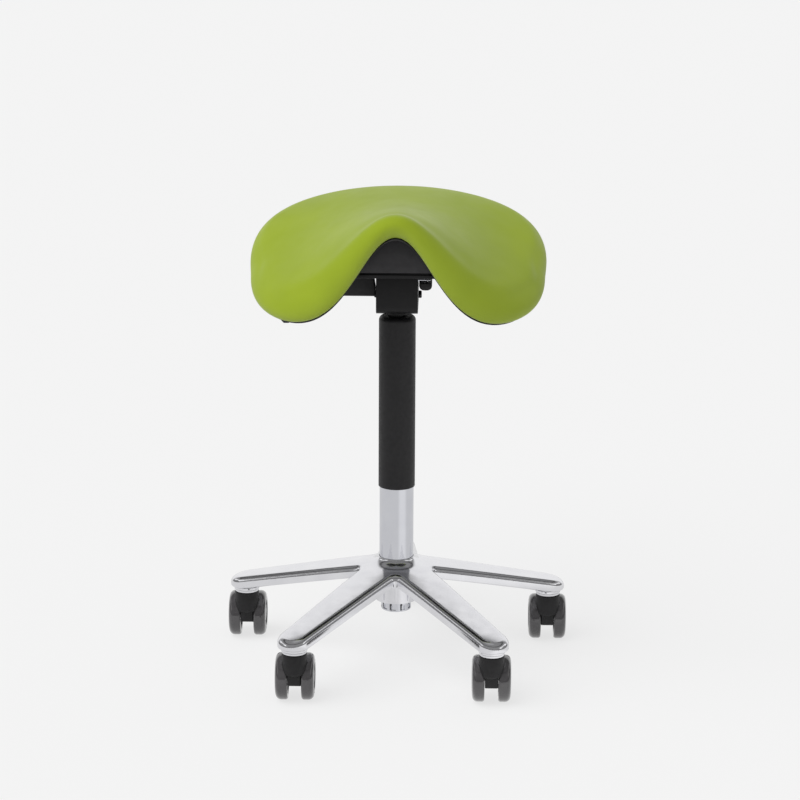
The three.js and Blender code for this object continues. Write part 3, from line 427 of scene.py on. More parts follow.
def star_casting():
    """The casting's skin as rings: down the neck, over the arms, round the edge and up into the pockets."""
    outline = star_outline()
    turns = [at.normalized() for at, _ in outline]

    def circle(radius, height):
        return [(turn.x * radius, turn.y * radius, height) for turn in turns]

    def drawn(inset, height_at):
        points = [at - normal * inset for at, normal in outline]
        return [(p.x, p.y, height_at(p.length)) for p in points]

    def foot(rise):
        return lambda radius: max(arm_top(radius) - ARM_DEPTH, FOOT) + rise

    def between(inner, outer, share, height_at):
        points = [Vector(a[:2]).lerp(Vector(b[:2]), share) for a, b in zip(inner, outer)]
        return [(p.x, p.y, height_at(p.length)) for p in points]

    neck = [(HUB_BORE, BORE_FOOT), (HUB_BORE, HUB_TOP - 0.7), (HUB_BORE + 0.2, HUB_TOP - 0.1),
            (HUB_NECK - 0.2, HUB_TOP), (HUB_NECK, HUB_TOP - 0.3)]
    flare = bezier([(HUB_NECK, HUB_TOP - 0.6), (HUB_NECK + 1.8, HUB_TOP - 6),
                    (FLARE_START, arm_top(FLARE_START) - 0.6), (FLARE_REACH, arm_top(FLARE_REACH))], 14)
    rows = [circle(*point) for point in (*neck, *flare)]
    inner, outer = rows[-1], drawn(EDGE_ROUND, arm_top)
    rows += [between(inner, outer, share, arm_top) for share in (0.12, 0.3, 0.5, 0.7, 0.87)]
    for step in range(11):
        angle = math.pi / 2 * step / 10
        drop = EDGE_ROUND * (1 - math.cos(angle))
        rows.append(drawn(EDGE_ROUND * (1 - math.sin(angle)), lambda radius: arm_top(radius) - drop))
    for step in range(5):
        angle = math.pi / 2 * step / 4
        rows.append(drawn(LIP_ROUND * (1 - math.cos(angle)), foot(LIP_ROUND * (1 - math.sin(angle)))))
    rows += [drawn(POCKET_INSET - 0.6, foot(0)), drawn(POCKET_INSET, foot(0.4)),
             drawn(POCKET_INSET + 0.5, lambda radius: arm_top(radius) - ROOF - 1.5),
             drawn(POCKET_INSET + 2, lambda radius: arm_top(radius) - ROOF)]
    pocket, hub = rows[-1], circle(HUB_ROOF_REACH, 0)
    rows += [between(pocket, hub, share, lambda radius: arm_top(radius) - ROOF) for share in (0.3, 0.6, 0.85)]
    boss = [(HUB_ROOF_REACH, 140), (38, 136), (33, 132.4), (BOSS_RADIUS, 129), (BOSS_RADIUS, BOSS_FOOT + 2),
            (BOSS_RADIUS - 0.6, BOSS_FOOT + 0.6), (BOSS_RADIUS - 2, BOSS_FOOT), (BOSS_BORE, BOSS_FOOT)]
    return loft(rows + [circle(*point) for point in boss], closed=True)


def merged(base, *others):
    """Several closed shapes kept in one mesh."""
    for other in others:
        mesh = bpy.data.meshes.new("joined")
        other.to_mesh(mesh)
        other.free()
        base.from_mesh(mesh)
        bpy.data.meshes.remove(mesh)
    return base


def turned_to(bm, angle):
    bmesh.ops.rotate(bm, verts=bm.verts, cent=(0, 0, 0), matrix=Matrix.Rotation(angle, 3, "Z"))
    return bm


def star_underside():
    """Stem bosses, arm ribs and the ribs round the hub's boss."""
    boss_foot = FOOT - 0.12
    boss_view = rounded([(STEM_BORE, 98), (STEM_BORE, boss_foot), (STEM_BOSS_RADIUS, boss_foot, 0.5),
                         (STEM_BOSS_RADIUS, 92), (15.6, 98), (STEM_BORE, 98)])
    rib_view = [(40, 142), (40, arm_top(40) - ARM_DEPTH + 1), (222, FOOT + 5), (222, 100)]
    made = []
    for _, x, y in castor_places():
        made.append(moved(turned(boss_view, 48), x, y, 0))
        made.append(turned_to(slab(rib_view, -ARM_RIB_HALF, ARM_RIB_HALF, "Y"), math.atan2(y, x)))
    for index in range(HUB_RIBS):
        rib = softened(slab(HUB_RIB_VIEW, -HUB_RIB_HALF, HUB_RIB_HALF, "Y"), 0.5, 2)
        made.append(turned_to(rib, math.tau * (index + 0.5) / HUB_RIBS))
    return made


piece("star_base_casting", merged(star_casting(), *star_underside()), polished_aluminium, "base",
      "polished_aluminium", "star_base", sharp=40)

for number, x, y in castor_places():
    collar = turned(rounded([(STEM_BORE, COLLAR_FOOT), (17.8, COLLAR_FOOT, 0.8), (18.3, 80.6, 0.5),
                             (19, 81.4, 0.5), (19, COLLAR_TOP, 0.6), (STEM_BORE, COLLAR_TOP),
                             (STEM_BORE, COLLAR_FOOT)]), 72)
    piece(f"castor_collar_{number}_ring", moved(collar, x, y, 0), polished_aluminium, "base",
          "polished_aluminium", f"caster_collar_{number}")


# Column. The outer tube is chromed steel, pressed into the hub's taper, with a slotted foot below it. The
# gas spring stands inside on a thrust bearing, held by a clip under the tube's floor, and slides in an
# acetal bush.

TUBE_RADIUS = 25
TUBE_BORE = 23
TUBE_TOP = 385
TUBE_FOOT = 78
TUBE_SIDES = 100
TAPER_TOP = 157
TAPER_FOOT = 92
FOOT_RADIUS = 22
FOOT_BORE = 19
FLOOR_HOLE = 6
FLOOR_TOP = 89.5
FLOOR_DEPTH = 3
SLOT_FOOT = 80.5
SLOT_TOP = 87.5
SLOT_PITCH = 10
SLOT_WIDTH = 5

# Bright chrome plate over a drawn tube: almost a mirror, with light smears where hands and cloths go. The
# long faint lines of the drawing are much finer in reality and are drawn 5 mm wide.
chrome_plate, tree, shader, place = finish_named("bright_chrome_plate", Metallic=1.0)
coloured(tree, shader, cloudy(tree, place, 40), ("#D3D4DA", "#DADBE0"), cloudy(tree, place, 22, 0.05, 0.1))
drawing = add(tree, "ShaderNodeMapping", {"Vector": place, "Scale": (1, 1, 0.08)})
grained(tree, shader, drawing.outputs[0], 5, 0.01, detail=1)


def in_slot(face):
    """Whether a face of the tube lies in one of the slots round its foot."""
    middle = face.calc_center_median()
    sector = math.atan2(middle.y, middle.x) % math.tau / math.tau * TUBE_SIDES
    outside = middle.xy.length > FOOT_RADIUS - 1 and abs(face.normal.z) < 0.5
    return outside and SLOT_FOOT < middle.z < SLOT_TOP and int(sector) % SLOT_PITCH < SLOT_WIDTH


tube = turned(rounded([(FOOT_BORE, TUBE_FOOT), (FOOT_RADIUS, TUBE_FOOT, 0.8), (FOOT_RADIUS, SLOT_FOOT),
                       (FOOT_RADIUS, SLOT_TOP), (FOOT_RADIUS, TAPER_FOOT), (TUBE_RADIUS, TAPER_TOP),
                       (TUBE_RADIUS, TUBE_TOP, 0.8), (TUBE_BORE, TUBE_TOP), (TUBE_BORE, TAPER_TOP),
                       (20, TAPER_FOOT), (20, FLOOR_TOP), (FLOOR_HOLE, FLOOR_TOP),
                       (FLOOR_HOLE, FLOOR_TOP - FLOOR_DEPTH), (FOOT_BORE, FLOOR_TOP - FLOOR_DEPTH),
                       (FOOT_BORE, TUBE_FOOT)]), TUBE_SIDES)
slots = [face for face in tube.faces if in_slot(face)]
pressed = bmesh.ops.extrude_face_region(tube, geom=slots)["geom"]
bmesh.ops.scale(tube, verts=new_points(pressed), vec=(0.93, 0.93, 1))
bmesh.ops.delete(tube, geom=slots, context="FACES")
piece("column_tube_chromed", tube, chrome_plate, "base", "chromed_steel", "column_tube")

# Natural acetal: a warm white, slightly waxy plastic.
acetal, tree, shader, place = finish_named("natural_acetal", IOR=1.48, Subsurface_Weight=0.1)
coloured(tree, shader, cloudy(tree, place, 10), ("#D8D4C6", "#E2DECF"), cloudy(tree, place, 5, 0.32, 0.44))
dress(acetal, "thrust_bearing", "guide_bush")
dress(zinc_plate, "bearing_washer_lower", "bearing_washer_upper", "retaining_clip", "release_pin")
dress(chrome_plate, "piston_rod")


# Gas spring's cylinder. A steel tube under black powder coat, the same as on the folded steel of the tilt
# mechanism. It shows only where it enters the mechanism.

# Powder coat: satin, with the slight orange peel that such a coat dries with. Its real cells are near 1 mm
# and are drawn at 1.4 mm.
powder_coat, tree, shader, place = finish_named("satin_black_powder_coat", IOR=1.5, Specular_IOR_Level=0.3)
coloured(tree, shader, cloudy(tree, place, 20), ("#0A090B", "#0E0D0F"), cloudy(tree, place, 7, 0.34, 0.44))
grained(tree, shader, place, 1.4, 0.05)
dress(powder_coat, "gas_cylinder")


# Column sleeve. A black nylon tube with a domed shoulder, which rides on the cylinder and hides the gap above
# the chromed tube as the seat rises.

SLEEVE_FOOT = 268
SLEEVE_TOP = 525
SLEEVE_RADIUS = 26.7
SLEEVE_BORE = 25.4
SLEEVE_NECK = 14.3
SHOULDER_DEPTH = 3.5
SHOULDER_FALL = 10.5

sleeve = turned(rounded([(SLEEVE_BORE, SLEEVE_FOOT), (SLEEVE_RADIUS, SLEEVE_FOOT, 0.6),
                         (SLEEVE_RADIUS, SLEEVE_TOP, 7), (SLEEVE_NECK, SLEEVE_TOP, 0.5),
                         (SLEEVE_NECK, SLEEVE_TOP - SHOULDER_DEPTH), (22, SLEEVE_TOP - SHOULDER_DEPTH, 2),
                         (SLEEVE_BORE, SLEEVE_TOP - SHOULDER_FALL), (SLEEVE_BORE, SLEEVE_FOOT)], 8), 96)
piece("column_sleeve_moulding", sleeve, black_nylon, "lift", "black_plastic", "column_sleeve")


# Tilt mechanism. A box folded from 3 mm steel, with a large bend along its lower front and rear edges, holds
# the welded socket that grips the cylinder's taper. The seat's ears hang inside on one riveted pivot pin.

HOUSING_HALF = 30
HOUSING_FRONT = -40
HOUSING_REAR = 60
HOUSING_FOOT = 534
HOUSING_TOP = 590
HOUSING_BEND = 12
WALL = 3
PIVOT = (34, 548)
PIVOT_HOLE = 4.8
LOCK = (-22, 582)
LOCK_HOLE = 2.8
SOCKET_HOLE = 18.3
SOCKET_RADIUS = 18
SOCKET_TOP = 571
PIN_RADIUS = 4.5
PIN_HEAD = 5.5
PIN_GRIP = 30.3
PIN_END = 34.6


def box_shape(low, high, soft=0.0, segments=2):
    bm = bmesh.new()
    bmesh.ops.create_cube(bm, size=1)
    bmesh.ops.scale(bm, verts=bm.verts, vec=[b - a for a, b in zip(low, high)])
    bmesh.ops.translate(bm, verts=bm.verts, vec=[(a + b) / 2 for a, b in zip(low, high)])
    return softened(bm, soft, segments) if soft else bm


def rod_along_x(radius, low, high, y, z):
    return moved(laid_along_x(turned([(0, low), (radius, low), (radius, high), (0, high)], 48)), 0, y, z)


def housing_view(inset, top):
    """The housing's side view, drawn in by an inset for its inside."""
    bend, foot = HOUSING_BEND - inset, HOUSING_FOOT + inset
    front, rear = HOUSING_FRONT + inset, HOUSING_REAR - inset
    return rounded([(front, foot, bend), (rear, foot, bend), (rear, top), (front, top)], 10)


folded_box = softened(slab(housing_view(0, HOUSING_TOP), -HOUSING_HALF, HOUSING_HALF, "X"), 0.9, 3)
hollow = slab(housing_view(WALL, HOUSING_TOP + 5), WALL - HOUSING_HALF, HOUSING_HALF - WALL, "X")
socket_hole = turned([(0, HOUSING_FOOT - 5), (SOCKET_HOLE, HOUSING_FOOT - 5), (SOCKET_HOLE, HOUSING_FOOT + 8),
                      (0, HOUSING_FOOT + 8)])
lever_slot = box_shape((-40, -5.6, 561.9), (0, 5.6, 567.1))
housing = shaped(folded_box, "DIFFERENCE", hollow, socket_hole, rod_along_x(PIVOT_HOLE, -40, 40, *PIVOT),
                 rod_along_x(LOCK_HOLE, 0, 40, *LOCK), lever_slot)
piece("tilt_housing_folded", housing, powder_coat, "lift", "black_paint", "tilt_housing")

socket = turned(rounded([(13.4, HOUSING_FOOT), (SOCKET_RADIUS, HOUSING_FOOT, 0.6),
                         (SOCKET_RADIUS, SOCKET_TOP, 1), (13.6, SOCKET_TOP), (13.4, HOUSING_FOOT)]))
piece("taper_socket_turned", socket, zinc_plate, "lift", "zinc_steel", "taper_socket")

pin = turned(rounded([(0, -PIN_END), (PIN_HEAD, -PIN_END, 1.4), (PIN_HEAD, -PIN_GRIP - 0.1, 0.3),
                      (PIN_RADIUS, -PIN_GRIP), (PIN_RADIUS, PIN_GRIP), (PIN_HEAD, PIN_GRIP + 0.1, 0.3),
                      (PIN_HEAD, PIN_END, 1.4), (0, PIN_END)]), 40)
piece("tilt_pivot_pin_riveted", moved(laid_along_x(pin), 0, *PIVOT), powder_coat, "lift", "black_paint",
      "tilt_pivot_pin")


# Height lever. A flat zinc-plated bar reaches in through the housing's left wall and lies over the release
# pin; a black nylon grip is pressed on its outer end and sweeps down to a paddle at the seat's left edge.

BAR_HALF = 5
BAR_END = -63
BAR_FOOT = 562.5
BAR_TOP = 566.5
BAR_VIEW = [(BAR_END, BAR_FOOT), (-22, BAR_FOOT), (-19, 577.6), (6, 577.6), (6, 581.6), (-23, 581.6),
            (-26, BAR_TOP), (BAR_END, BAR_TOP)]
GRIP_HALF = 9.3
GRIP_VIEW = [(-157, 513.2, 4), (-84, 554.2, 14), (-31.4, 554.2, 2), (-31.4, 566, 6), (-34.2, 585.3, 2),
             (-92, 585.3, 18), (-164, 525, 4), (-167.8, 521, 3), (-167.8, 517, 3), (-164, 513.2, 2)]
FIT = 0.3

bar = softened(slab(BAR_VIEW, -BAR_HALF, BAR_HALF, "Y"), 0.5, 2)
piece("height_lever_arm_bar", bar, zinc_plate, "height_lever", "zinc_steel", "height_lever_arm")

grip = softened(slab(rounded(GRIP_VIEW), -GRIP_HALF, GRIP_HALF, "Y"), 2.4, 4)
bar_pocket = box_shape((BAR_END - FIT, -BAR_HALF - FIT, BAR_FOOT - FIT), (-20, BAR_HALF + FIT, BAR_TOP + FIT))
grip = shaped(grip, "DIFFERENCE", bar_pocket)
piece("height_lever_grip_moulding", grip, black_nylon, "height_lever", "black_plastic", "height_lever_grip")


# Tilt lever. A short chromed rod through the housing's right wall carries a washer and a black nylon grip,
# which hangs under it and points to the rear.

ROD_RADIUS = 2.5
ROD_START = 26.8
ROD_END = 47.5
WASHER_RADIUS = 5
WASHER_START = 42.5
WASHER_END = 44.5
KNOB_VIEW = [(31.5, 568.2, 7), (50, 568.2, 7), (50, 579.2), (31.5, 579.2)]
KNOB_FRONT = -30
KNOB_REAR = 40

rod = turned(rounded([(0, ROD_START), (ROD_RADIUS, ROD_START), (ROD_RADIUS, ROD_END, 0.5), (0, ROD_END)]), 32)
piece("tilt_lever_rod_chromed", moved(laid_along_x(rod), 0, *LOCK), chrome_plate, "tilt_lever",
      "chromed_steel", "tilt_lever_rod")
washer = turned(rounded([(LOCK_HOLE, WASHER_START), (WASHER_RADIUS, WASHER_START, 0.3),
                         (WASHER_RADIUS, WASHER_END, 0.3), (LOCK_HOLE, WASHER_END),
                         (LOCK_HOLE, WASHER_START)]), 40)
piece("tilt_lever_washer_pressed", moved(laid_along_x(washer), 0, *LOCK), zinc_plate, "tilt_lever",
      "zinc_steel", "tilt_lever_washer")
knob = softened(slab(rounded(KNOB_VIEW, 6), KNOB_FRONT, KNOB_REAR, "Y"), 1.4, 3)
washer_room = rod_along_x(WASHER_RADIUS + FIT, WASHER_START - FIT, WASHER_END + FIT, *LOCK)
piece("tilt_lever_grip_moulding", shaped(knob, "DIFFERENCE", washer_room), black_nylon, "tilt_lever",
      "black_plastic", "tilt_lever_grip")


# Seat carrier and its screws. A 3.5 mm steel plate with two ears that pivot in the housing, powder-coated
# black, is bolted up into the seat's bridge with four zinc-plated socket screws. Its front edge is folded
# down.

PLATE_HALF = 56
PLATE_FRONT = -98
PLATE_REAR = 93
PLATE_FOOT = 605.2
PLATE_TOP = 608.7
FOLD_FOOT = 601
EAR_TOP = 606
EAR_INNER = 23.4
EAR_OUTER = 26.4
EAR_REAR = [(60, EAR_TOP), (60, PLATE_FOOT), (48, 592.2), (43.2, 546.3), (37.2, 539.1), (29, 540), (25, 553)]
RIGHT_EAR = [*EAR_REAR, (12, 566), (-28, 574), (-28, EAR_TOP)]
LEFT_EAR = [*EAR_REAR, (14, 566), (14, EAR_TOP)]
SCREW_PLACES = [(-45, -87), (45, -87), (-45, 82), (45, 82)]
SCREW_HEAD = 6
SCREW_SHANK = 3
KEY_HOLE = 2.4
HEAD_FOOT = 601.4

plate = merged(box_shape((-PLATE_HALF, PLATE_FRONT, PLATE_FOOT), (PLATE_HALF, PLATE_REAR, PLATE_TOP), 0.7),
               box_shape((-PLATE_HALF, PLATE_FRONT, FOLD_FOOT), (PLATE_HALF, PLATE_FRONT + 2.6, 608), 0.7))
ears = [softened(slab(LEFT_EAR, -EAR_OUTER, -EAR_INNER, "X"), 0.5, 2),
        softened(slab(RIGHT_EAR, EAR_INNER, EAR_OUTER, "X"), 0.5, 2)]
piece("seat_carrier_plate", merged(plate, *ears), powder_coat, "seat", "black_paint", "seat_carrier")

for number, (x, y) in enumerate(SCREW_PLACES, 1):
    screw = turned(rounded([(0, HEAD_FOOT + 2), (KEY_HOLE, HEAD_FOOT + 2), (KEY_HOLE, HEAD_FOOT, 0.2),
                            (SCREW_HEAD, HEAD_FOOT, 0.9), (SCREW_HEAD, 604.9, 0.2), (SCREW_SHANK, 604.9),
                            (SCREW_SHANK, 620), (0, 620)]), 36)
    piece(f"mounting_screw_{number}_socket", moved(screw, x, y, 0), zinc_plate, "seat", "zinc_steel",
          f"mounting_screw_{number}")


# Seat shell and bridge. The shell is a charcoal moulding under the whole pad, bent to the saddle; the bridge
# fills its arch down to the flat plate. The pad's cover is stapled between them, so no fixing shows.

SEAT_FRONT = -149
SEAT_REAR = 175
SEAT_MIDDLE = (SEAT_FRONT + SEAT_REAR) / 2
SEAT_HALF = 213
SEAT_TOP = 704
SEAT_FALL = 19
SEAT_DIP = 8
SQUARENESS = 2.6
ARCH_WIDTH = 72
ARCH_SPREAD = 172
ARCH_DROP = 158
DROP_LOSS = 109
ROLL_WIDER = 40
ROLL_DEEPER = 25
PAD = 36
PAD_EDGE = 20
SHELL_INSET = 13.5
SHELL_TOP = 0.4
SHELL_FOOT = 5.2
SHELL_LIP = 2.4
BRIDGE_HALF = 57.9
BRIDGE_REACH = 97.4
BRIDGE_MIDDLE = -2.5
BRIDGE_TOP = 5.8
BRIDGE_FOOT = 609.1

# Charcoal ABS, moulded with a leather-like grain so that scuffs hide: dull, slightly lighter on its ridges.
grained_abs, tree, shader, place = finish_named("leather_grained_charcoal_abs", IOR=1.52)
cells = add(tree, "ShaderNodeTexVoronoi", {"Vector": place, "Scale": size_mm(1.6)}, feature="SMOOTH_F1")
coloured(tree, shader, cells.outputs["Distance"], ("#262428", "#201E21"), cloudy(tree, place, 8, 0.5, 0.62))
hide = add(tree, "ShaderNodeBump", {"Height": cells.outputs["Distance"], "Distance": 0.08 / 1000,
                                    "Strength": 0.8})
tree.links.new(hide.outputs[0], shader.inputs["Normal"])


def along_seat(y):
    """The share of the seat's length that lies in front of a place."""
    return min(max((y - SEAT_FRONT) / (SEAT_REAR - SEAT_FRONT), 0), 1)


def crown(v):
    """The height of the saddle's middle line."""
    return SEAT_TOP - SEAT_FALL * v - SEAT_DIP * math.sin(math.pi * v) ** 2


def arch(x, v, wider=0, deeper=0):
    """How far the saddle falls away at the side: steep and narrow in front, flat and wide at the rear."""
    width = ARCH_WIDTH + ARCH_SPREAD * v ** 0.95 + wider * (1 - v)
    drop = ARCH_DROP - DROP_LOSS * v ** 1.25 + deeper * (1 - v)
    return drop * (1 - math.exp(-((x / width) ** 2)))


def underside(x, y):
    v = along_seat(y)
    return crown(v) - PAD - arch(x, v)


def topside(x, y):
    v = along_seat(y)
    return crown(v) - arch(x, v, ROLL_WIDER, ROLL_DEEPER)


def seat_outline(count, inset=0.0):
    """The saddle's plan: a squared oval, narrower in front, drawn in by an inset."""
    outline = []
    for index in range(count):
        even = math.tau * index / count
        angle = even - 0.45 * math.sin(even)
        across, forward = math.sin(angle), math.cos(angle)
        scale = (abs(across) ** SQUARENESS + abs(forward) ** SQUARENESS) ** (-1 / SQUARENESS)
        egg = math.copysign(abs(scale * forward) ** 1.3, forward)
        x = SEAT_HALF * scale * across * (1 - 0.15 * egg)
        y = -(SEAT_REAR - SEAT_FRONT) / 2 * scale * forward
        share = 1 - inset / math.hypot(x, y)
        outline.append((x * share, SEAT_MIDDLE + y * share))
    return outline


def seat_row(outline, share, height_at):
    points = [(x * share, SEAT_MIDDLE + (y - SEAT_MIDDLE) * share) for x, y in outline]
    return [(x, y, height_at(x, y)) for x, y in points]


def under_sheet(upper, lower, lip, edge, count=192):
    """A sheet that lies between two depths under the pad and thins to a rounded lip at its rim."""
    middle, half = upper + lip / 2, lip / 2
    rim = seat_outline(count, edge + half)
    shares = (0.1, 0.25, 0.4, 0.55, 0.7, 0.82, 0.92)
    rows = [seat_row(rim, share, lambda x, y: underside(x, y) - upper) for share in shares]
    for step in range(7):
        angle = math.pi * step / 6 - math.pi / 2
        around = seat_outline(count, edge + half * (1 - math.cos(angle)))
        depth = middle + half * math.sin(angle)
        rows.append([(x, y, underside(x, y) - depth) for x, y in around])
    rows += [seat_row(rim, share, lambda x, y: underside(x, y) - lower) for share in reversed(shares)]
    centre = underside(0, SEAT_MIDDLE)
    return loft(rows, poles=[(0, SEAT_MIDDLE, centre - upper), (0, SEAT_MIDDLE, centre - lower)])


shell = under_sheet(SHELL_TOP, SHELL_FOOT, SHELL_LIP, SHELL_INSET)
piece("seat_shell_moulding", shell, grained_abs, "seat", "shell_plastic", "seat_shell")

bridge = bmesh.new()
bmesh.ops.create_grid(bridge, x_segments=40, y_segments=48, size=1)
bmesh.ops.scale(bridge, verts=bridge.verts, vec=(BRIDGE_HALF, BRIDGE_REACH, 1))
bmesh.ops.translate(bridge, verts=bridge.verts, vec=(0, BRIDGE_MIDDLE, 0))
for vertex in bridge.verts:
    vertex.co.z = underside(vertex.co.x, vertex.co.y) - BRIDGE_TOP
skirt = bmesh.ops.extrude_face_region(bridge, geom=bridge.faces[:])["geom"]
for vertex in new_points(skirt):
    vertex.co.z = BRIDGE_FOOT
bridge = softened(tidy(bridge), 1.2, 2, 40)
piece("seat_bridge_moulding", bridge, grained_abs, "seat", "shell_plastic", "seat_bridge")


# Seat cushion. A saddle of moulded foam, about 36 mm thick, under one piece of lime green upholstery vinyl
# that is pulled over the rounded edge and fixed underneath. It is taut, with no seams on top.

SLACK = 2
VALLEY_DEPTH = 1.6
VALLEY_PLACE = 33
VALLEY_WIDTH = 16
VALLEY_REACH = 165
VALLEY_FADE = 70
ROLL_HALF = 183
PRESSURE = 6
FRAMES = 20
VOXEL = 5
NEIGHBOURS = 90
BLEND = 8
PUFF_LIMIT = 4
FOAM_HOLD = 0.9

# Upholstery vinyl: a soft satin skin with an embossed grain. The real grain is near 0.5 mm and is drawn at
# 1.1 mm.
lime_vinyl, tree, shader, place = finish_named("lime_upholstery_vinyl", IOR=1.5, Sheen_Weight=0.26,
                                               Sheen_Roughness=0.4, Specular_IOR_Level=0.42)
shader.inputs["Sheen Tint"].default_value = linear("#E4EBC8")
coloured(tree, shader, cloudy(tree, place, 70, detail=2), ("#93A71D", "#99AD21"),
         cloudy(tree, place, 25, 0.47, 0.54))
pebbles = add(tree, "ShaderNodeTexVoronoi", {"Vector": place, "Scale": size_mm(1.1)}, feature="SMOOTH_F1")
creases = add(tree, "ShaderNodeTexNoise", {"Vector": place, "Scale": size_mm(3), "Detail": 3})
skin = add(tree, "ShaderNodeMath", {0: pebbles.outputs["Distance"], 1: creases.outputs["Fac"]},
           operation="ADD")
emboss = add(tree, "ShaderNodeBump", {"Height": skin.outputs[0], "Distance": 0.04 / 1000, "Strength": 0.6})
tree.links.new(emboss.outputs[0], shader.inputs["Normal"])


def front_valley(x, y):
    """The shallow hollow that the cover draws behind its front roll, fading out towards the lobes."""
    bend = (1 - min(abs(x) / ROLL_HALF, 0.99) ** SQUARENESS) ** (1 / SQUARENESS)
    edge = SEAT_MIDDLE - (SEAT_REAR - SEAT_FRONT) / 2 * bend
    fade = min(max((VALLEY_REACH - abs(x)) / VALLEY_FADE, 0), 1)
    hollow = VALLEY_DEPTH * math.exp(-(((y - edge - VALLEY_PLACE) / VALLEY_WIDTH) ** 2))
    return hollow * fade * fade * (3 - 2 * fade)


def saddle_pad(count, top_steps, roll_steps, under_steps):
    """The closed slack pad: crowned top, rolled edge and underside, all from the saddle's formula."""
    margin = seat_outline(count, PAD_EDGE)

    def top(x, y):
        return topside(x, y) - front_valley(x, y) - SLACK

    rows = [seat_row(margin, (step / top_steps) ** 0.85, top) for step in range(1, top_steps)]
    for step in range(roll_steps):
        angle = math.pi * step / roll_steps
        share = (1 - math.cos(angle)) / 2
        around = seat_outline(count, PAD_EDGE * (1 - math.sin(angle)))
        rows.append([(x, y, top(x, y) * (1 - share) + underside(x, y) * share) for x, y in around])
    rows += [seat_row(margin, 1 - step / under_steps, underside) for step in range(under_steps)]
    poles = [(0, SEAT_MIDDLE, side(0, SEAT_MIDDLE)) for side in (top, underside)]
    return loft(rows, poles=poles)


def under_pressure(cover):
    """The cover's points at rest and their movement as taut cloth, held along its underside."""
    rest = [vertex.co.copy() for vertex in cover.data.vertices]
    fixed = cover.vertex_groups.new(name="fixed")
    held = [index for index, at in enumerate(rest) if at.z * 1000 < underside(at.x * 1000, at.y * 1000) + 2]
    fixed.add(held, 1.0, "REPLACE")
    cloth = cover.modifiers.new("cloth", "CLOTH")
    cloth.settings.use_pressure = True
    cloth.settings.uniform_pressure_force = PRESSURE
    cloth.settings.vertex_group_mass = "fixed"
    cloth.settings.effector_weights.gravity = 0
    cloth.point_cache.frame_start, cloth.point_cache.frame_end = 1, FRAMES
    for frame_number in range(1, FRAMES + 1):
        bpy.context.scene.frame_set(frame_number)
    pressed = cover.evaluated_get(bpy.context.evaluated_depsgraph_get()).to_mesh()
    pushed = [vertex.co - at for vertex, at in zip(pressed.vertices, rest)]
    bpy.context.scene.frame_set(1)
    return rest, pushed


def fill_out(pad):
    """The foam pressing the cover taut: simulated on an even copy and carried to the pad's own points."""
    mesh = bpy.data.meshes.new("cover")
    pad.to_mesh(mesh)
    mesh.transform(Matrix.Scale(0.001, 4))
    cover = bpy.data.objects.new("cover", mesh)
    bpy.context.scene.collection.objects.link(cover)
    remesh = cover.modifiers.new("even", "REMESH")
    remesh.mode, remesh.voxel_size = "VOXEL", VOXEL / 1000
    cover.data = bpy.data.meshes.new_from_object(cover.evaluated_get(bpy.context.evaluated_depsgraph_get()))
    cover.modifiers.clear()
    rest, pushed = under_pressure(cover)
    near = kdtree.KDTree(len(rest))
    for index, at in enumerate(rest):
        near.insert(at, index)
    near.balance()
    pad.normal_update()
    for vertex in pad.verts:
        push, total = Vector(), 0
        for _, index, distance in near.find_n(vertex.co / 1000, NEIGHBOURS):
            share = 1 / (distance * 1000 + BLEND)
            push += pushed[index] * share
            total += share
        push *= 1000 / total
        push -= vertex.normal * min(push.dot(vertex.normal), 0) * FOAM_HOLD
        vertex.co += push.normalized() * PUFF_LIMIT * math.tanh(push.length / PUFF_LIMIT)
    bpy.data.objects.remove(cover)


pad = saddle_pad(224, 26, 18, 10)
fill_out(pad)
cushion = piece("seat_cushion_upholstered", pad, lime_vinyl, "seat", "green_vinyl", "seat_cushion", sharp=60)
smooth = cushion.modifiers.new("smooth", "SUBSURF")
smooth.levels = smooth.render_levels = 1


# Studio. A plain pale floor with a faint shadow, an even soft dome, and a large soft lamp high on the left.
# Polished metal sees dark grey walls with a lamp box at each side, a bright panel behind the object, and a
# nearly black ring under a grey ceiling.

FLOOR = "#E8E8E8"
FLOOR_HALF = 60
HORIZON = 0.96
FLOOR_GLOW = 0.75
WHITE = (1, 1, 1, 1)


def zoned(tree, before, direction, start, end, after):
    """A level that changes softly from one value to another as a direction passes from start to end."""
    passed = add(tree, "ShaderNodeMapRange", {"Value": direction, "From Min": start, "From Max": end},
                 interpolation_type="SMOOTHSTEP")
    return add(tree, "ShaderNodeMix", {0: passed.outputs[0], 2: before, 3: after}).outputs[0]


def any_ray(tree, *kinds):
    """One for the named kinds of ray and nothing for all others."""
    rays = add(tree, "ShaderNodeLightPath")
    found = rays.outputs[kinds[0]]
    for kind in kinds[1:]:
        found = add(tree, "ShaderNodeMath", {0: found, 1: rays.outputs[kind]}, operation="MAXIMUM").outputs[0]
    return found


floor_paint, tree, shader, place = finish_named("matt_pale_floor", Roughness=0.9, Specular_IOR_Level=0.1)
shader.inputs["Base Color"].default_value = linear(FLOOR)
floor_paint.cycles.emission_sampling = "NONE"
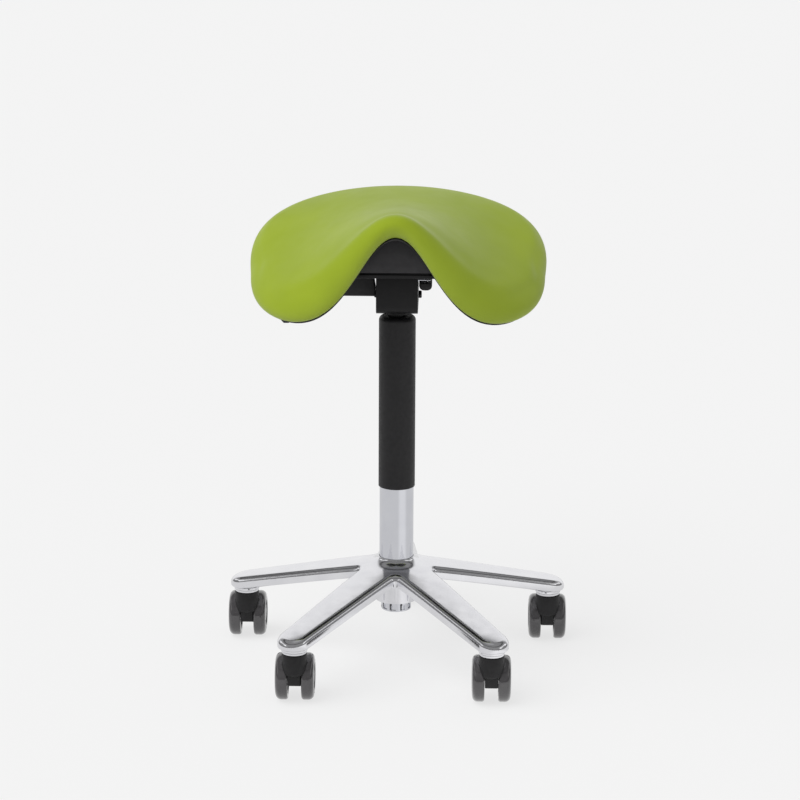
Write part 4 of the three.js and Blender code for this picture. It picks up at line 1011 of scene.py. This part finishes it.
# In gloss the floor is brighter towards the front right.
outward = add(tree, "ShaderNodeVectorMath", {0: place}, operation="NORMALIZE")
bright_way = add(tree, "ShaderNodeVectorMath", {0: outward.outputs[0], 1: (0.64, -0.77, 0)},
                 operation="DOT_PRODUCT").outputs["Value"]
mirrored = zoned(tree, 0.76, bright_way, 0.84, 1.0, 1.0)
glow = add(tree, "ShaderNodeMix", {0: any_ray(tree, "Is Camera Ray"), 2: mirrored, 3: HORIZON})
lit = add(tree, "ShaderNodeEmission", {"Color": WHITE, "Strength": glow.outputs[0]})
seen = any_ray(tree, "Is Camera Ray", "Is Glossy Ray", "Is Transmission Ray")
share = add(tree, "ShaderNodeMath", {0: seen, 1: FLOOR_GLOW}, operation="MULTIPLY")
both = add(tree, "ShaderNodeMixShader", {0: share.outputs[0], 1: shader.outputs[0], 2: lit.outputs[0]})
tree.links.new(both.outputs[0], tree.nodes["Material Output"].inputs["Surface"])
floor_bm = bmesh.new()
bmesh.ops.create_grid(floor_bm, x_segments=1, y_segments=1, size=FLOOR_HALF)
floor_mesh = bpy.data.meshes.new("floor")
floor_bm.to_mesh(floor_mesh)
floor_bm.free()
floor_mesh.materials.append(floor_paint)
floor = bpy.data.objects.new("floor", floor_mesh)
bpy.context.scene.collection.objects.link(floor)

# The dome lights evenly. Its levels by direction show in gloss alone, and the camera sees it nearly white.
DOME = 0.45
BACKDROP = 0.92
world = bpy.data.worlds.new("studio")
bpy.context.scene.world = world
world.use_nodes = True
tree = world.node_tree
ways = add(tree, "ShaderNodeSeparateXYZ", {0: add(tree, "ShaderNodeTexCoord").outputs["Generated"]}).outputs
sideways = add(tree, "ShaderNodeMath", {0: ways["X"]}, operation="ABSOLUTE").outputs[0]
beside = add(tree, "ShaderNodeMath", {0: sideways, 1: 0.84, 2: 0.06}, operation="COMPARE").outputs[0]
above = add(tree, "ShaderNodeMath", {0: ways["Z"], 1: 0.4, 2: 0.12}, operation="COMPARE").outputs[0]
box = add(tree, "ShaderNodeMath", {0: beside, 1: above}, operation="MULTIPLY").outputs[0]
wall = zoned(tree, 0.14, ways["Z"], 0.08, 0.24, 0.26)
wall = add(tree, "ShaderNodeMath", {0: wall, 1: box}, operation="MAXIMUM").outputs[0]
level = zoned(tree, wall, ways["Y"], 0.55, 0.74, 0.9)
ring = zoned(tree, 0.05, ways["Z"], 0.73, 0.79, 0.24)
level = zoned(tree, level, ways["Z"], 0.66, 0.71, ring)
level = zoned(tree, level, ways["Z"], 0.95, 0.97, 0.36)
dome = add(tree, "ShaderNodeMix", {0: any_ray(tree, "Is Glossy Ray"), 2: DOME, 3: level}).outputs[0]
shown = any_ray(tree, "Is Camera Ray", "Is Transmission Ray")
dome = add(tree, "ShaderNodeMix", {0: shown, 2: dome, 3: BACKDROP}).outputs[0]
background = tree.nodes["Background"]
background.inputs["Color"].default_value = WHITE
tree.links.new(dome, background.inputs["Strength"])

# The key lamp is wide, so its shadows are soft, and no metal mirrors it.
key_light = bpy.data.lights.new("key", "SUN")
key_light.energy, key_light.angle = 1.9, math.radians(60)
key = bpy.data.objects.new("key", key_light)
key.rotation_euler = (math.radians(40), 0, math.radians(-55))
key.visible_glossy = False
bpy.context.scene.collection.objects.link(key)

# The camera stands 4 m in front at 1.5 m height and looks slightly down with a long lens.
CAMERA_SIDE = 0.086
CAMERA_DISTANCE = 3.9992
CAMERA_HEIGHT = 1.5
CAMERA_TURNS = ((1.17, "Z"), (74.59, "X"), (0.27, "Z"))
lens = bpy.data.cameras.new("camera")
lens.sensor_width, lens.lens, lens.clip_end = 36, 128.2, 300
camera = bpy.data.objects.new("camera", lens)
aim = Matrix.Translation((CAMERA_SIDE, COLUMN_Y - CAMERA_DISTANCE, CAMERA_HEIGHT))
for degrees, axis in CAMERA_TURNS:
    aim = aim @ Matrix.Rotation(math.radians(degrees), 4, axis)
camera.matrix_world = aim
bpy.context.scene.collection.objects.link(camera)
bpy.context.scene.camera = camera
bpy.context.scene.view_settings.view_transform = "Standard"
